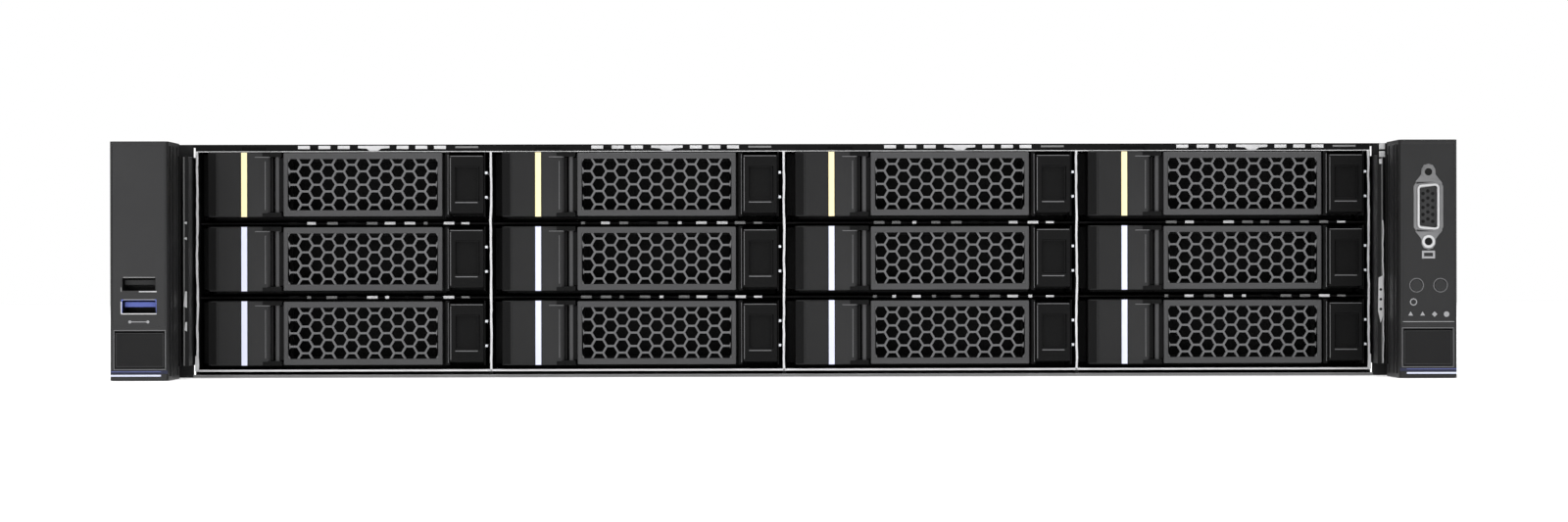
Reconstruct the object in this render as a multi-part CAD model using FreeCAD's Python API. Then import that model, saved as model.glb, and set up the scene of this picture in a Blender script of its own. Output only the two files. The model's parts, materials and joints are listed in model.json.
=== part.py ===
# 2U rack server with twelve 3.5-inch drive bays, as an assembly of separate pieces.
# Millimetres. +X is to the right seen from the front, -Y is the front, +Z is up.
# The origin is where the rack's mounting plane, the centre line and the underside meet.
import FreeCAD, Part
from FreeCAD import Vector
import math
import os

# ---------------------------------------------------------------- driving sizes
# whole machine
RACK_WIDTH = 482.6            # 19 inch rack width, across both ears
EAR_OVERHANG = 24.3           # from the chassis side to the ear's outer face
HEIGHT = 85.6
CHASSIS_LENGTH = 735.0        # rack plane to the outside of the rear wall
SHEET = 1.0                   # chassis and cover steel
SLIDE_GAP = 0.3               # running gap beside anything that slides
FLAP_GAP = 0.2                # gap round a small moving flap or button
SEAT_GAP = 0.2                # gap under a lifted-off cover
OVER = 1.0                    # how far a cutter passes the face it opens
BITE = 0.1                    # how far a piece runs into the one it is fused to

# drive cage
CAGE_SHEET = 1.2
COLUMNS = 4
ROWS = 3
CAGE_FRONT = -2.0             # front edge of the cage's plates
TOP_OVERHANG = 28.3           # fixed top panel behind the backplane
BAND_HEIGHT = 2.4             # slotted front band under the top panel
BAND_GAP = 0.58               # top row of bezels to the band
CAGE_FLOOR_HEIGHT = 2.2       # underside of the cage's own floor
CAGE_FLOOR_SHEET = 0.8
LEDGE_WIDTH = 1.7
LEDGE_SHEET = 1.2
LEDGE_SETBACK = 3.0           # ledges start this far behind the carrier's bezel
VENT_LENGTH = 9.0
VENT_HEIGHT = 0.8
VENTS_PER_COLUMN = 4
VENT_PITCH = 22.0

# drive and carrier
DRIVE_SIDE = 2.45             # each side of the drive to the cage plate, for the rail
DRIVE_STACK_GAP = 1.86        # between two drives, one above the other
DRIVE_LENGTH = 147.0
DRIVE_GAP = 0.2               # drive above the cage's floor
DRIVE_SETBACK = 6.0           # drive behind the bezel's back plate
ROW_GAP = 3.66                # between two bezels, one above the other
BEZEL_LIFT = 1.3              # bezel's foot above the drive's underside
FACE = -4.0                   # front plane of the bezels
BEZEL_DEPTH = 12.0
BACK_PLATE = 2.0
WINDOW_SIDE = 2.0             # air window inside the lever's ends
WINDOW_FOOT = 3.0             # air window inside the bezel's foot and top
RAIL_MARGIN = 1.7             # rail lower than the drive, above and below
RAIL_INSET = 0.5              # rail to cage plate
BLOCK_START = 3.6
BLOCK_WIDTH = 22.8
BLOCK_CHAMFER = 0.8
STRIP_START = 12.2            # coloured strip from the block's left edge
STRIP_WIDTH = 2.1
STRIP_DEPTH = 1.2
PIPE = 0.9                    # light pipe, square
PIPE_HEIGHTS = (7.1, 16.1)

# carrier lever with its honeycomb
LEVER_START = 31.3            # frame's left edge from the bay's left plate
LEVER_MARGIN = 0.2            # above and below
LEVER_PROUD = 0.5
LEVER_THICKNESS = 2.4
LEVER_RIM = 1.2               # least frame beside the honeycomb
PIVOT_INSET = 2.4             # pivot axis to the frame's left edge
PIVOT_DEPTH = 1.4             # pivot axis behind the bezel's face
PIN_RADIUS = 0.9
PIN_CLEARANCE = 0.05
PIN_SIDES = 8
WEB = 1.2                     # lever's web between its pin and frame
LUG_HALF = 1.6
LUG_HEIGHT = 1.6
CELL_PITCH = 9.0              # honeycomb cell, flat to flat plus one web
CELL_WEB = 1.1
CELLS_PER_COLUMN = 2          # in every other column, one less between them

# carrier release button
BUTTON_WIDTH = 12.6
BUTTON_GAP_LEFT = 2.6         # lever to button
BUTTON_GAP_RIGHT = 1.9        # button to the bay's right plate
BUTTON_MARGIN = 1.2           # above and below
BUTTON_DEPTH = 7.0
BUTTON_PROUD = 0.6
POST_WALL = 1.4
FINGER_WIDTH = 8.7
FINGER_HEIGHT = 13.0
FINGER_DEPTH = 1.2
FINGER_SHIFT = 0.4            # finger recess right of the button's middle

# ears
EAR_WIDTH = 20.9
EAR_DEPTH = 23.0
EAR_FRONT = -34.0
EAR_ROUND = 1.6
FLANGE = 2.0
LEG_SHEET = 1.5
LEG_BACK = 45.0
LEG_MARGIN = 4.6
CORE_INSET = 3.0
FLAP_WIDTH = 17.6
FLAP_HEIGHT = 13.0
FLAP_FOOT = 4.5
FLAP_THICKNESS = 2.2
FLAP_OUTER_WALL = 1.9
FLAP_PIN = 0.6
FLAP_PIN_LENGTH = 0.8
NICK_SHARE = 0.4              # finger nick, share of the flap's width
WELL_DEPTH = 14.0             # screw's well behind the flap
WELL_SIDE = 2.0               # well inside the flap's sides
WELL_FOOT = 1.0               # well inside the flap's foot and top
SCREW_INSET = 8.75            # rack screw to the ear's outer face
SCREW_RADIUS = 2.5
SCREW_NECK_RADIUS = 2.0       # plain neck between the knob and the thread
SCREW_THREAD_START = 0.5      # thread begins behind the flange
SCREW_HEIGHT = 11.0
SCREW_KNOB_RADIUS = 4.0
SCREW_KNOB_LENGTH = 7.0
SCREW_KNOB_SIDES = 12
SCREW_TIP = 8.0               # how far the screw stands out behind the flange
SCREW_CLEARANCE = 0.25
GROOVE_HEIGHT = 1.3
GROOVE_FOOT = 2.4
GROOVE_DEPTH = 0.5

# sockets and buttons in the ears
USB_WIDTH = 12.5
USB_HEIGHT = 5.2
USB_DEPTH = 14.0
USB_WALL = 0.35
USB_BACK_WALL = 2.0
USB_LOWEST = 23.9
USB_PITCH = 7.95
USBS = 2
TONGUE_WIDTH = 11.1
TONGUE_THICKNESS = 1.8
TONGUE_DEPTH = 9.0
TONGUE_GAP = 0.6              # tongue under the shell's upper wall
VGA_DROP = 24.1               # socket's middle below the ear's top
VGA_LONG = 16.4
VGA_SHORT = 14.2
VGA_THICK = 7.9
VGA_WALL = 0.5
VGA_DEPTH = 9.0
VGA_PLAY = 0.3                # shell behind the ear's face, jack screws in front of it
VGA_MARGIN = 1.0              # recess and flange round the shell
VGA_FLANGE = 1.0
VGA_BLOCK_SETBACK = 1.0       # contact block behind the shell's edge
JACK_SPACING = 25.0
JACK_SIDES = 6
JACK_RADIUS = 2.4
JACK_BORE = 1.4
JACK_BORE_DEPTH = 4.0
JACK_LENGTH = 5.0
PUSH_RADIUS = 2.1
PUSH_CLEARANCE = 0.1
PUSH_LENGTH = 5.0
PUSH_PROUD = 0.4
PUSH_TRAVEL = 1.0
PUSH_SPACING = 8.6
PUSH_HEIGHT = 33.3

# backplane
BOARD = 2.4
CONNECTOR_GAP = 0.3
CONNECTOR_LENGTH = 6.0
CONNECTOR_WIDTH = 42.0
CONNECTOR_HEIGHT = 5.0
CONNECTOR_LIFT = 1.0          # above the bezel's foot
AIR_SLOT_MARGIN = 13.25       # air slot inside the bay, each side
AIR_SLOT_HEIGHT = 11.0
AIR_SLOT_LIFT = 10.0

# fans
FANS = 4
FAN_ROOM = 16.0               # chassis width that the fans leave free
FAN_TOP_GAP = 3.1
FAN_DEPTH = 38.0
FAN_SETBACK = 18.0            # fans behind the fixed top panel
FAN_BASE_MARGIN = 6.0
FAN_WALL = 2.0                # least wall round the duct
GUIDE = 1.5
GUIDE_HEIGHT = 30.0           # guide plates above the fan's axis
HUB_RADIUS = 17.0
HUB_LENGTH = 22.0
HUB_SIDES = 10
DUCT_SIDES = 16
BLADES = 7
BLADE_TIP_GAP = 2.5
BLADE_ROOT = 2.0              # how far a blade starts inside the hub
BLADE_THICKNESS = 1.4
BLADE_ANGLE = 38.0
BLADE_CHORD = 0.95            # share of the hub's length
SHAFT_RADIUS = 2.0
SHAFT_CLEARANCE = 0.05
STATOR_RADIUS = 15.0
STATOR_LENGTH = 8.0
STRUT_WIDTH = 4.0

# main board and what stands on it
MAIN_SETBACK = 18.0           # board behind the fans
MAIN_REAR_GAP = 22.0          # board to the rear wall
MAIN_RIGHT_GAP = 15.2         # board to the power supplies' wall
MAIN_LEFT_GAP = 3.0           # board to the chassis side
STANDOFF = 7.0
STANDOFF_SIZE = 6.0
STANDOFF_COLUMNS = (0.05, 0.5, 0.95)
STANDOFF_ROWS = (0.05, 0.95)
MODULE_LENGTH = 133.4
MODULE_HEIGHT = 31.0
MODULE_THICKNESS = 4.0
MODULE_PITCH = 9.0
MODULE_SETBACK = 28.0         # modules behind the board's front edge
SIDE_BANK = 4                 # modules left and right of the heat sinks
MIDDLE_BANK = 6               # modules between them
BANK_MARGIN = 6.0             # outer banks to the board's sides
SLOT_HEIGHT = 5.0
SLOT_WALL = 1.0
SLOT_OVERHANG = 4.0
SINK_PLACES = (0.263, 0.737)  # heat sinks, shares of the board's width
SINK_SHARE = 0.225            # one heat sink, share of the board's width
SINK_LENGTH = 92.0
SINK_BASE = 6.0
SINK_FINS = 10
SINK_TOP_GAP = 2.0
FIN = 1.0
SOCKET_HEIGHT = 6.0
SOCKET_INSET = 4.0            # processor socket inside the heat sink's sides
PORT_DEPTH = 14.0             # port block on the board, in front of its rear edge
PORT_GAP = 0.3                # port block to the rear wall's window
# rear ports: left edge as a share of the board's width, width, height
PORTS = ((0.068, 16.2, 8.2), (0.139, 33.0, 8.2), (0.275, 14.6, 7.4), (0.453, 31.0, 8.2), (0.814, 50.0, 8.2))

# air duct
HOOD_SHEET = 2.0
HOOD_TOP_GAP = 11.2           # hood under the cover's outer face
HOOD_LEAD = 10.0              # hood in front of the board
HOOD_LENGTH = 190.0
HOOD_SLOPE = 30.0
HOOD_NOTCH_LENGTH = 18.0      # side walls cut away over the board's front edge
HOOD_NOTCH_HEIGHT = 30.0

# risers
RISERS = 2
RISER_LENGTH = 180.0
RISER_GAP = 6.0
RISER_FOOT = 19.0
RISER_TOP_GAP = 4.64
RISER_BOARD_FRONT = 5.0
RISER_BOARD_BACK = 30.0
SLOTS = 3
SLOT_VENTS = 3                # side by side in each slot cover
SLOT_VENT_MARGIN = 12.5
SLOT_VENT_GAP = 6.0
SLOT_VENT_INSET = 7.16        # above and below a vent
VENT_AREA = 99.2              # rear wall between the risers and the power supplies
REAR_VENTS = 5
REAR_VENT_LENGTH = 60.0
REAR_VENT_LIFT = 2.0
REAR_VENT_TOP_GAP = 3.4
REAR_VENT_GAP = 5.0

# power supplies
PSUS = 2
PSU_WIDTH = 73.5
PSU_LENGTH = 185.0
PSU_GAP = 1.6                 # between the two
PSU_FOOT = 2.0
PSU_TOP_GAP = 4.0
PSU_PROUD = 1.0               # rear face behind the chassis wall
PSU_SIDE_GAP = 1.0
TAIL_INSET = 12.0
TAIL_LENGTH = 8.0
TAIL_THICKNESS = 1.6
HANDLE_REACH = 24.0
HANDLE_BAR = 3.0
HANDLE_MARGIN = 4.5           # handle lower than the body, above and below
HANDLE_GAP = 0.5              # handle right of the inlet
LATCH_THICKNESS = 2.0
LATCH_LENGTH = 20.0
LATCH_HEIGHT = 12.0
LATCH_KNUCKLE = 1.5           # radius round the pin
LATCH_PIN = 0.8
LATCH_LUG = 1.5               # lug above and below the tab
INLET_MARGIN = 4.0
INLET_WIDTH = 28.0
INLET_HEIGHT = 20.5
INLET_DEPTH = 18.0
INLET_PINS = ((7.0, -2.0), (21.0, -2.0), (14.0, 2.0))
INLET_PIN_WIDTH = 2.0
INLET_PIN_HEIGHT = 4.0
INLET_PIN_SETBACK = 4.0
GRILLE_RADIUS = 16.5
GRILLE_SIDES = 16
GRILLE_MARGIN = 2.5
GRILLE_DEPTH = 3.0
GRILLE_SETBACK = 0.5          # hub and arms behind the rear face
GRILLE_ARM = 1.6
GRILLE_ARM_DEPTH = 1.0
GRILLE_HUB = 0.45             # share of the grille's radius

# cover and its latch
COVER_TRAVEL = 14.0
COVER_LIP = 12.0              # lip under the fixed panel
COVER_STEP = 6.0
COVER_LIP_INSET = 12.0        # lip inside the cage's sides
COVER_FLANGE = 9.0
POCKET_SETBACK = 100.0        # latch pocket behind the main board's front edge
POCKET_WIDTH = 30.0
POCKET_LENGTH = 74.0
POCKET_DEPTH = 9.0
POCKET_GRIP = 14.0            # finger room behind the latch
LATCH_PLATE = 3.0
COVER_PIN = 1.5
COVER_PIN_SETBACK = 6.0
COVER_PIN_DROP = 1.0

# rail studs
STUD_RADIUS = 3.0
STUD_NECK = 2.6
STUD_HEAD_RADIUS = 5.0
STUD_HEAD = 1.4
STUD_FIRST = 70.0             # first stud behind the rack plane
STUD_LAST = 65.0              # last stud in front of the rear wall
STUDS_PER_SIDE = 3
STUD_NECK_SIDES = 8

# ---------------------------------------------------------------- worked out from them
# across
CHASSIS_WIDTH = RACK_WIDTH - 2 * EAR_OVERHANG
HALF = CHASSIS_WIDTH / 2
CAGE_HALF = HALF - SHEET
BAY_WIDTH = (2 * CAGE_HALF - (COLUMNS + 1) * CAGE_SHEET) / COLUMNS
BAY_PITCH = BAY_WIDTH + CAGE_SHEET
DRIVE_WIDTH = BAY_WIDTH - 2 * DRIVE_SIDE
LEVER_WIDTH = BAY_WIDTH - LEVER_START - BUTTON_GAP_LEFT - BUTTON_WIDTH - BUTTON_GAP_RIGHT
CELL_COLUMN_PITCH = CELL_PITCH * math.sqrt(3) / 2
CELL_COLUMNS = int((LEVER_WIDTH - 2 * LEVER_RIM) / CELL_COLUMN_PITCH)
EAR_INNER = RACK_WIDTH / 2 - EAR_WIDTH
EAR_CENTRE = RACK_WIDTH / 2 - EAR_WIDTH / 2
FLAP_LEFT = RACK_WIDTH / 2 - FLAP_OUTER_WALL - FLAP_WIDTH
SCREW_X = RACK_WIDTH / 2 - SCREW_INSET
FAN_PITCH = (2 * CAGE_HALF - FAN_ROOM) / FANS
PSU_RIGHT = CAGE_HALF - PSU_SIDE_GAP
PSU_LEFT = PSU_RIGHT - PSU_WIDTH
PSU_WALL_X = PSU_LEFT - SLIDE_GAP - SHEET
BOARD_LEFT = -(CAGE_HALF - MAIN_LEFT_GAP)
BOARD_RIGHT = PSU_WALL_X - MAIN_RIGHT_GAP
MAIN_WIDTH = BOARD_RIGHT - BOARD_LEFT
SINK_WIDTH = SINK_SHARE * MAIN_WIDTH
RISER_WIDTH = (PSU_WALL_X - BOARD_LEFT - VENT_AREA) / RISERS - RISER_GAP
SLOT_VENT_LENGTH = (RISER_WIDTH - 2 * SLOT_VENT_MARGIN - (SLOT_VENTS - 1) * SLOT_VENT_GAP) / SLOT_VENTS
# upwards
TOP_UNDER = HEIGHT - SHEET
WALL_TOP = TOP_UNDER - SEAT_GAP
CAGE_FLOOR_TOP = CAGE_FLOOR_HEIGHT + CAGE_FLOOR_SHEET
DRIVE_FOOT = CAGE_FLOOR_TOP + DRIVE_GAP
BEZEL_FOOT = DRIVE_FOOT + BEZEL_LIFT
ROW_PITCH = (HEIGHT - BAND_HEIGHT - BAND_GAP + ROW_GAP - BEZEL_FOOT) / ROWS
BEZEL_HEIGHT = ROW_PITCH - ROW_GAP
DRIVE_HEIGHT = ROW_PITCH - DRIVE_STACK_GAP
VGA_CENTRE = HEIGHT - VGA_DROP
RAIL_HEIGHT = DRIVE_HEIGHT - 2 * RAIL_MARGIN
RAIL_LIFT = RAIL_MARGIN - BEZEL_LIFT
FAN_SIZE = HEIGHT - SHEET - GUIDE - FAN_TOP_GAP
FAN_AXIS = SHEET + GUIDE + FAN_SIZE / 2
DUCT_RADIUS = FAN_SIZE / 2 - FAN_WALL
BOARD_TOP = SHEET + STANDOFF + BOARD
HOOD_TOP = HEIGHT - HOOD_TOP_GAP
SINK_HEIGHT = HOOD_TOP - HOOD_SHEET - SINK_TOP_GAP - BOARD_TOP - SOCKET_HEIGHT
SLOT_PITCH = (HEIGHT - RISER_TOP_GAP - RISER_FOOT - SHEET) / SLOTS
REAR_VENT_PITCH = (WALL_TOP - RISER_FOOT - REAR_VENT_LIFT - REAR_VENT_TOP_GAP) / REAR_VENTS
REAR_VENT_HEIGHT = REAR_VENT_PITCH - REAR_VENT_GAP
PSU_HEIGHT = (HEIGHT - PSU_FOOT - PSU_TOP_GAP - (PSUS - 1) * PSU_GAP) / PSUS
PSU_PITCH = PSU_HEIGHT + PSU_GAP
PSU_STACK_TOP = PSU_FOOT + PSUS * PSU_PITCH - PSU_GAP
HANDLE_HEIGHT = PSU_HEIGHT - 2 * HANDLE_MARGIN
STUD_HEIGHT = HEIGHT / 2
# front to back
EAR_BACK = EAR_FRONT + EAR_DEPTH
BEZEL_BACK = FACE + BEZEL_DEPTH
DRIVE_FRONT = BEZEL_BACK + DRIVE_SETBACK
DRIVE_BACK = DRIVE_FRONT + DRIVE_LENGTH
BACKPLANE_FRONT = DRIVE_BACK + CONNECTOR_GAP + CONNECTOR_LENGTH
BACKPLANE_BACK = BACKPLANE_FRONT + BOARD
CAGE_BACK = BACKPLANE_BACK + TOP_OVERHANG
COVER_FRONT = CAGE_BACK + SLIDE_GAP
FAN_FRONT = CAGE_BACK + FAN_SETBACK
FAN_BACK = FAN_FRONT + FAN_DEPTH
MAIN_FRONT = FAN_BACK + MAIN_SETBACK
REAR_INSIDE = CHASSIS_LENGTH - SHEET
MAIN_BACK = REAR_INSIDE - MAIN_REAR_GAP
MAIN_LENGTH = MAIN_BACK - MAIN_FRONT
MODULE_FRONT = MAIN_FRONT + MODULE_SETBACK
HOOD_FRONT = MAIN_FRONT - HOOD_LEAD
HOOD_BACK = HOOD_FRONT + HOOD_LENGTH
PSU_BACK = CHASSIS_LENGTH + PSU_PROUD
PSU_FRONT = PSU_BACK - PSU_LENGTH
LATCH_X = PSU_RIGHT - LATCH_KNUCKLE
LATCH_Y = PSU_BACK + SLIDE_GAP + LATCH_KNUCKLE
POCKET_FRONT = MAIN_FRONT + POCKET_SETBACK
STUD_PITCH = (CHASSIS_LENGTH - STUD_FIRST - STUD_LAST) / (STUDS_PER_SIDE - 1)
COVER_BACK = CHASSIS_LENGTH + SLIDE_GAP + SHEET


# ---------------------------------------------------------------- helpers
def box(x0, x1, y0, y1, z0, z1):
    """A block between two corners."""
    return Part.makeBox(x1 - x0, y1 - y0, z1 - z0, Vector(x0, y0, z0))


def rod(radius, start, direction, length):
    """A round bar from start along direction."""
    return Part.makeCylinder(radius, length, Vector(*start), Vector(*direction))


def prism(points, extrusion):
    """A closed outline of straight sides, pushed along extrusion."""
    corners = [Vector(*p) for p in points]
    wire = Part.makePolygon(corners + corners[:1])
    return Part.Face(wire).extrude(Vector(*extrusion))


def regular(sides, radius, start=0.5):
    """Corners of a regular outline round zero, the first at a share of one side's turn."""
    turns = [2 * math.pi * (corner + start) / sides for corner in range(sides)]
    return [(radius * math.cos(turn), radius * math.sin(turn)) for turn in turns]


def polygon_bar(sides, radius, x, z, y0, y1):
    """A bar of a regular section along Y."""
    points = [(x + across, y0, z + up) for across, up in regular(sides, radius)]
    return prism(points, (0, y1 - y0, 0))


def joined(first, *others):
    """One solid from pieces that share volume."""
    return first.multiFuse(list(others)).removeSplitter()


def without(shape, *cutters):
    """The shape less every cutter."""
    return shape.cut(Part.makeCompound(list(cutters)))


def rounded_edges(shape, radius, picks):
    """Fillet the edges that the test picks."""
    edges = [e for e in shape.Edges if picks(e)]
    return shape.makeFillet(radius, edges)


def upright_at(y):
    """A test for vertical edges in the plane y."""
    def picks(edge):
        bounds = edge.BoundBox
        return bounds.XLength < 0.01 and bounds.YLength < 0.01 and abs(bounds.YMin - y) < 0.01
    return picks


def mirrored(shape):
    """The same piece on the other side of the centre line."""
    return shape.mirror(Vector(0, 0, 0), Vector(1, 0, 0))


def save(node, *shapes):
    """Write one sub-part, a file of one or more separate solids."""
    solids = [s for shape in shapes for s in shape.Solids]
    whole = solids[0] if len(solids) == 1 else Part.makeCompound(solids)
    whole.exportStep("parts/" + node + ".step")


# ---------------------------------------------------------------- chassis
def chassis_tray():
    """Folded steel tray: floor, sides, rear wall with its windows, power supply bay and rail studs."""
    floor = box(-HALF, HALF, CAGE_FRONT, CHASSIS_LENGTH, 0, SHEET)
    left = box(-HALF, -CAGE_HALF, BEZEL_BACK, CHASSIS_LENGTH, 0, WALL_TOP)
    right = box(CAGE_HALF, HALF, BEZEL_BACK, CHASSIS_LENGTH, 0, WALL_TOP)
    rear = box(-HALF, HALF, REAR_INSIDE, CHASSIS_LENGTH, 0, WALL_TOP)
    bay_wall = box(PSU_WALL_X, PSU_WALL_X + SHEET, PSU_FRONT - SHEET, CHASSIS_LENGTH, 0, WALL_TOP)
    tray = joined(floor, left, right, rear, bay_wall, *standoffs(), *studs())
    return without(tray, *rear_windows())


def standoffs():
    """Posts that carry the main board."""
    half = STANDOFF_SIZE / 2
    posts = []
    for across in STANDOFF_COLUMNS:
        for along in STANDOFF_ROWS:
            x = BOARD_LEFT + MAIN_WIDTH * across
            y = MAIN_FRONT + MAIN_LENGTH * along
            posts.append(box(x - half, x + half, y - half, y + half, 0, SHEET + STANDOFF))
    return posts


def studs():
    """Studs along both sides that the rack rails hook onto."""
    pieces = []
    for side in (-1, 1):
        for number in range(STUDS_PER_SIDE):
            pieces += stud(side, STUD_FIRST + STUD_PITCH * number)
    return pieces


def stud(side, y):
    """One stud: a neck from the middle of the sheet and a round head."""
    start = side * (HALF - SHEET / 2)
    outline = [(start, y + along, STUD_HEIGHT + up) for along, up in regular(STUD_NECK_SIDES, STUD_RADIUS)]
    neck = prism(outline, (side * (SHEET / 2 + STUD_NECK + STUD_HEAD / 2), 0, 0))
    head = rod(STUD_HEAD_RADIUS, (side * (HALF + STUD_NECK), y, STUD_HEIGHT), (side, 0, 0), STUD_HEAD)
    return [neck, head]


def rear_window(x0, x1, z0, z1):
    """Cutter through the rear wall."""
    return box(x0, x1, REAR_INSIDE - OVER, CHASSIS_LENGTH + OVER, z0, z1)


def rear_windows():
    """Openings in the rear wall for power supplies, slot covers and ports, and its air slots."""
    supplies = rear_window(PSU_LEFT - SLIDE_GAP, PSU_RIGHT + SLIDE_GAP,
                           PSU_FOOT - SLIDE_GAP, PSU_STACK_TOP + SLIDE_GAP)
    windows = [supplies]
    for riser in range(RISERS):
        left = riser_left(riser)
        windows.append(rear_window(left + RISER_GAP, left + RISER_WIDTH, slot_foot(0), slot_foot(SLOTS) - SHEET))
    for x, width, height in ports():
        windows.append(rear_window(x, x + width, BOARD_TOP, BOARD_TOP + height))
    x = riser_left(RISERS)
    for row in range(REAR_VENTS):
        z = RISER_FOOT + REAR_VENT_LIFT + REAR_VENT_PITCH * row
        windows.append(rear_window(x, x + REAR_VENT_LENGTH, z, z + REAR_VENT_HEIGHT))
    return windows


def ports():
    """Rear port windows: left edge, width and height."""
    return [(BOARD_LEFT + MAIN_WIDTH * share, width, height) for share, width, height in PORTS]


def riser_left(number):
    """Left edge of a riser, counted from the left seen from the front."""
    return BOARD_LEFT + number * (RISER_WIDTH + RISER_GAP)


def slot_foot(number):
    """Lower edge of an expansion slot."""
    return RISER_FOOT + SHEET + SLOT_PITCH * number


# ---------------------------------------------------------------- drive cage
def bay_left(column):
    """Inner face of the plate on a bay's left."""
    return -CAGE_HALF + CAGE_SHEET + BAY_PITCH * column


def row_foot(row):
    """Foot of a bezel, rows counted from the lowest."""
    return BEZEL_FOOT + ROW_PITCH * row


def drive_cage():
    """Upright plates with ledges, the cage's floor, and the fixed top panel with its slotted band."""
    plates = []
    for plate in range(COLUMNS + 1):
        x = -CAGE_HALF + BAY_PITCH * plate
        plates.append(box(x, x + CAGE_SHEET, CAGE_FRONT, BACKPLANE_FRONT, SHEET, TOP_UNDER + SHEET / 2))
    top = box(-HALF, HALF, CAGE_FRONT, CAGE_BACK, TOP_UNDER, HEIGHT)
    band = box(-CAGE_HALF, CAGE_HALF, CAGE_FRONT, CAGE_FRONT + SHEET, HEIGHT - BAND_HEIGHT, HEIGHT)
    floor = box(-CAGE_HALF, CAGE_HALF, CAGE_FRONT, BACKPLANE_FRONT, CAGE_FLOOR_HEIGHT, CAGE_FLOOR_TOP)
    cage = joined(top, band, floor, *plates, *ledges())
    return without(cage, *band_vents())


def ledges():
    """Strips along the plates, one under each carrier rail."""
    front = BEZEL_BACK + LEDGE_SETBACK
    strips = []
    for column in range(COLUMNS):
        left = bay_left(column)
        right = left + BAY_WIDTH
        for row in range(ROWS):
            z = row_foot(row) + RAIL_LIFT - SLIDE_GAP
            strips.append(box(left - BITE, left + LEDGE_WIDTH, front, DRIVE_BACK, z - LEDGE_SHEET, z))
            strips.append(box(right - LEDGE_WIDTH, right + BITE, front, DRIVE_BACK, z - LEDGE_SHEET, z))
    return strips


def band_vents():
    """Thin slots in the band, a row over each bay."""
    half = VENT_LENGTH / 2
    z = TOP_UNDER - VENT_HEIGHT
    slots = []
    for column in range(COLUMNS):
        centre = bay_left(column) + BAY_WIDTH / 2
        for number in range(VENTS_PER_COLUMN):
            x = centre + VENT_PITCH * (number - (VENTS_PER_COLUMN - 1) / 2)
            slots.append(box(x - half, x + half, CAGE_FRONT - OVER, CAGE_FRONT + SHEET / 2, z, z + VENT_HEIGHT))
    return slots


def drive_backplane():
    """Circuit board across the back of the cage, with air slots and one connector for each drive."""
    board = box(-CAGE_HALF, CAGE_HALF, BACKPLANE_FRONT, BACKPLANE_BACK, CAGE_FLOOR_HEIGHT, TOP_UNDER - 2 * SHEET)
    half_slot = BAY_WIDTH / 2 - AIR_SLOT_MARGIN
    half_connector = CONNECTOR_WIDTH / 2
    slots = []
    connectors = []
    for column in range(COLUMNS):
        centre = bay_left(column) + BAY_WIDTH / 2
        for row in range(ROWS):
            slot_z = row_foot(row) + AIR_SLOT_LIFT
            slots.append(box(centre - half_slot, centre + half_slot, BACKPLANE_FRONT - OVER, BACKPLANE_BACK + OVER,
                             slot_z, slot_z + AIR_SLOT_HEIGHT))
            z = row_foot(row) + CONNECTOR_LIFT
            connectors.append(box(centre - half_connector, centre + half_connector,
                                  BACKPLANE_FRONT - CONNECTOR_LENGTH, BACKPLANE_FRONT, z, z + CONNECTOR_HEIGHT))
    return [without(board, *slots)] + connectors


# ---------------------------------------------------------------- drive carriers
def pivot_at(left):
    """Place of a lever's pivot, from the bay's left plate."""
    return left + LEVER_START - PIVOT_INSET, FACE + PIVOT_DEPTH


def button_left(left):
    """Left edge of a release button, from the bay's left plate."""
    return left + LEVER_START + LEVER_WIDTH + BUTTON_GAP_LEFT


def carrier_frame(left, foot):
    """Moulded bezel with its block, hinge lugs and button well, on two side rails."""
    top = foot + BEZEL_HEIGHT
    right = left + BAY_WIDTH - RAIL_INSET - PIPE
    plate_front = BEZEL_BACK - BACK_PLATE
    back_plate = box(left + RAIL_INSET, right, plate_front, BEZEL_BACK, foot + RAIL_LIFT, top - RAIL_LIFT)
    well_left = button_left(left) - FLAP_GAP
    well_right = button_left(left) + BUTTON_WIDTH + FLAP_GAP
    post_left = box(well_left - POST_WALL, well_left, FACE + POST_WALL, BEZEL_BACK, foot, top)
    post_right = box(well_right, right, FACE, BEZEL_BACK, foot, top)
    rail_foot = foot + RAIL_LIFT
    rail_top = rail_foot + RAIL_HEIGHT
    rail_left = box(left + RAIL_INSET, left + DRIVE_SIDE, plate_front, DRIVE_BACK, rail_foot, rail_top)
    rail_right = box(left + BAY_WIDTH - DRIVE_SIDE, right, plate_front, DRIVE_BACK, rail_foot, rail_top)
    frame = joined(back_plate, bezel_block(left, foot), post_left, post_right, rail_left, rail_right,
                   *hinge_lugs(left, foot))
    lever_left = left + LEVER_START
    window = box(lever_left + WINDOW_SIDE, lever_left + LEVER_WIDTH - WINDOW_SIDE,
                 plate_front - OVER, BEZEL_BACK + OVER, foot + WINDOW_FOOT, top - WINDOW_FOOT)
    groove_left = left + BLOCK_START + STRIP_START
    groove = box(groove_left, groove_left + STRIP_WIDTH, FACE - OVER, FACE + STRIP_DEPTH, foot - OVER, top + OVER)
    x, y = pivot_at(left)
    half = PIN_RADIUS + PIN_CLEARANCE
    bearing = box(x - half, x + half, y - half, y + half, foot - OVER, top + OVER)
    return without(frame, window, groove, bearing)


def bezel_block(left, foot):
    """Block at the bezel's left, with both front edges bevelled."""
    x0 = left + BLOCK_START
    x1 = x0 + BLOCK_WIDTH
    side = FACE + BLOCK_CHAMFER
    outline = [
        (x0, BEZEL_BACK, foot), (x0, side, foot), (x0 + BLOCK_CHAMFER, FACE, foot),
        (x1 - BLOCK_CHAMFER, FACE, foot), (x1, side, foot), (x1, BEZEL_BACK, foot),
    ]
    return prism(outline, (0, 0, BEZEL_HEIGHT))


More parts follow.
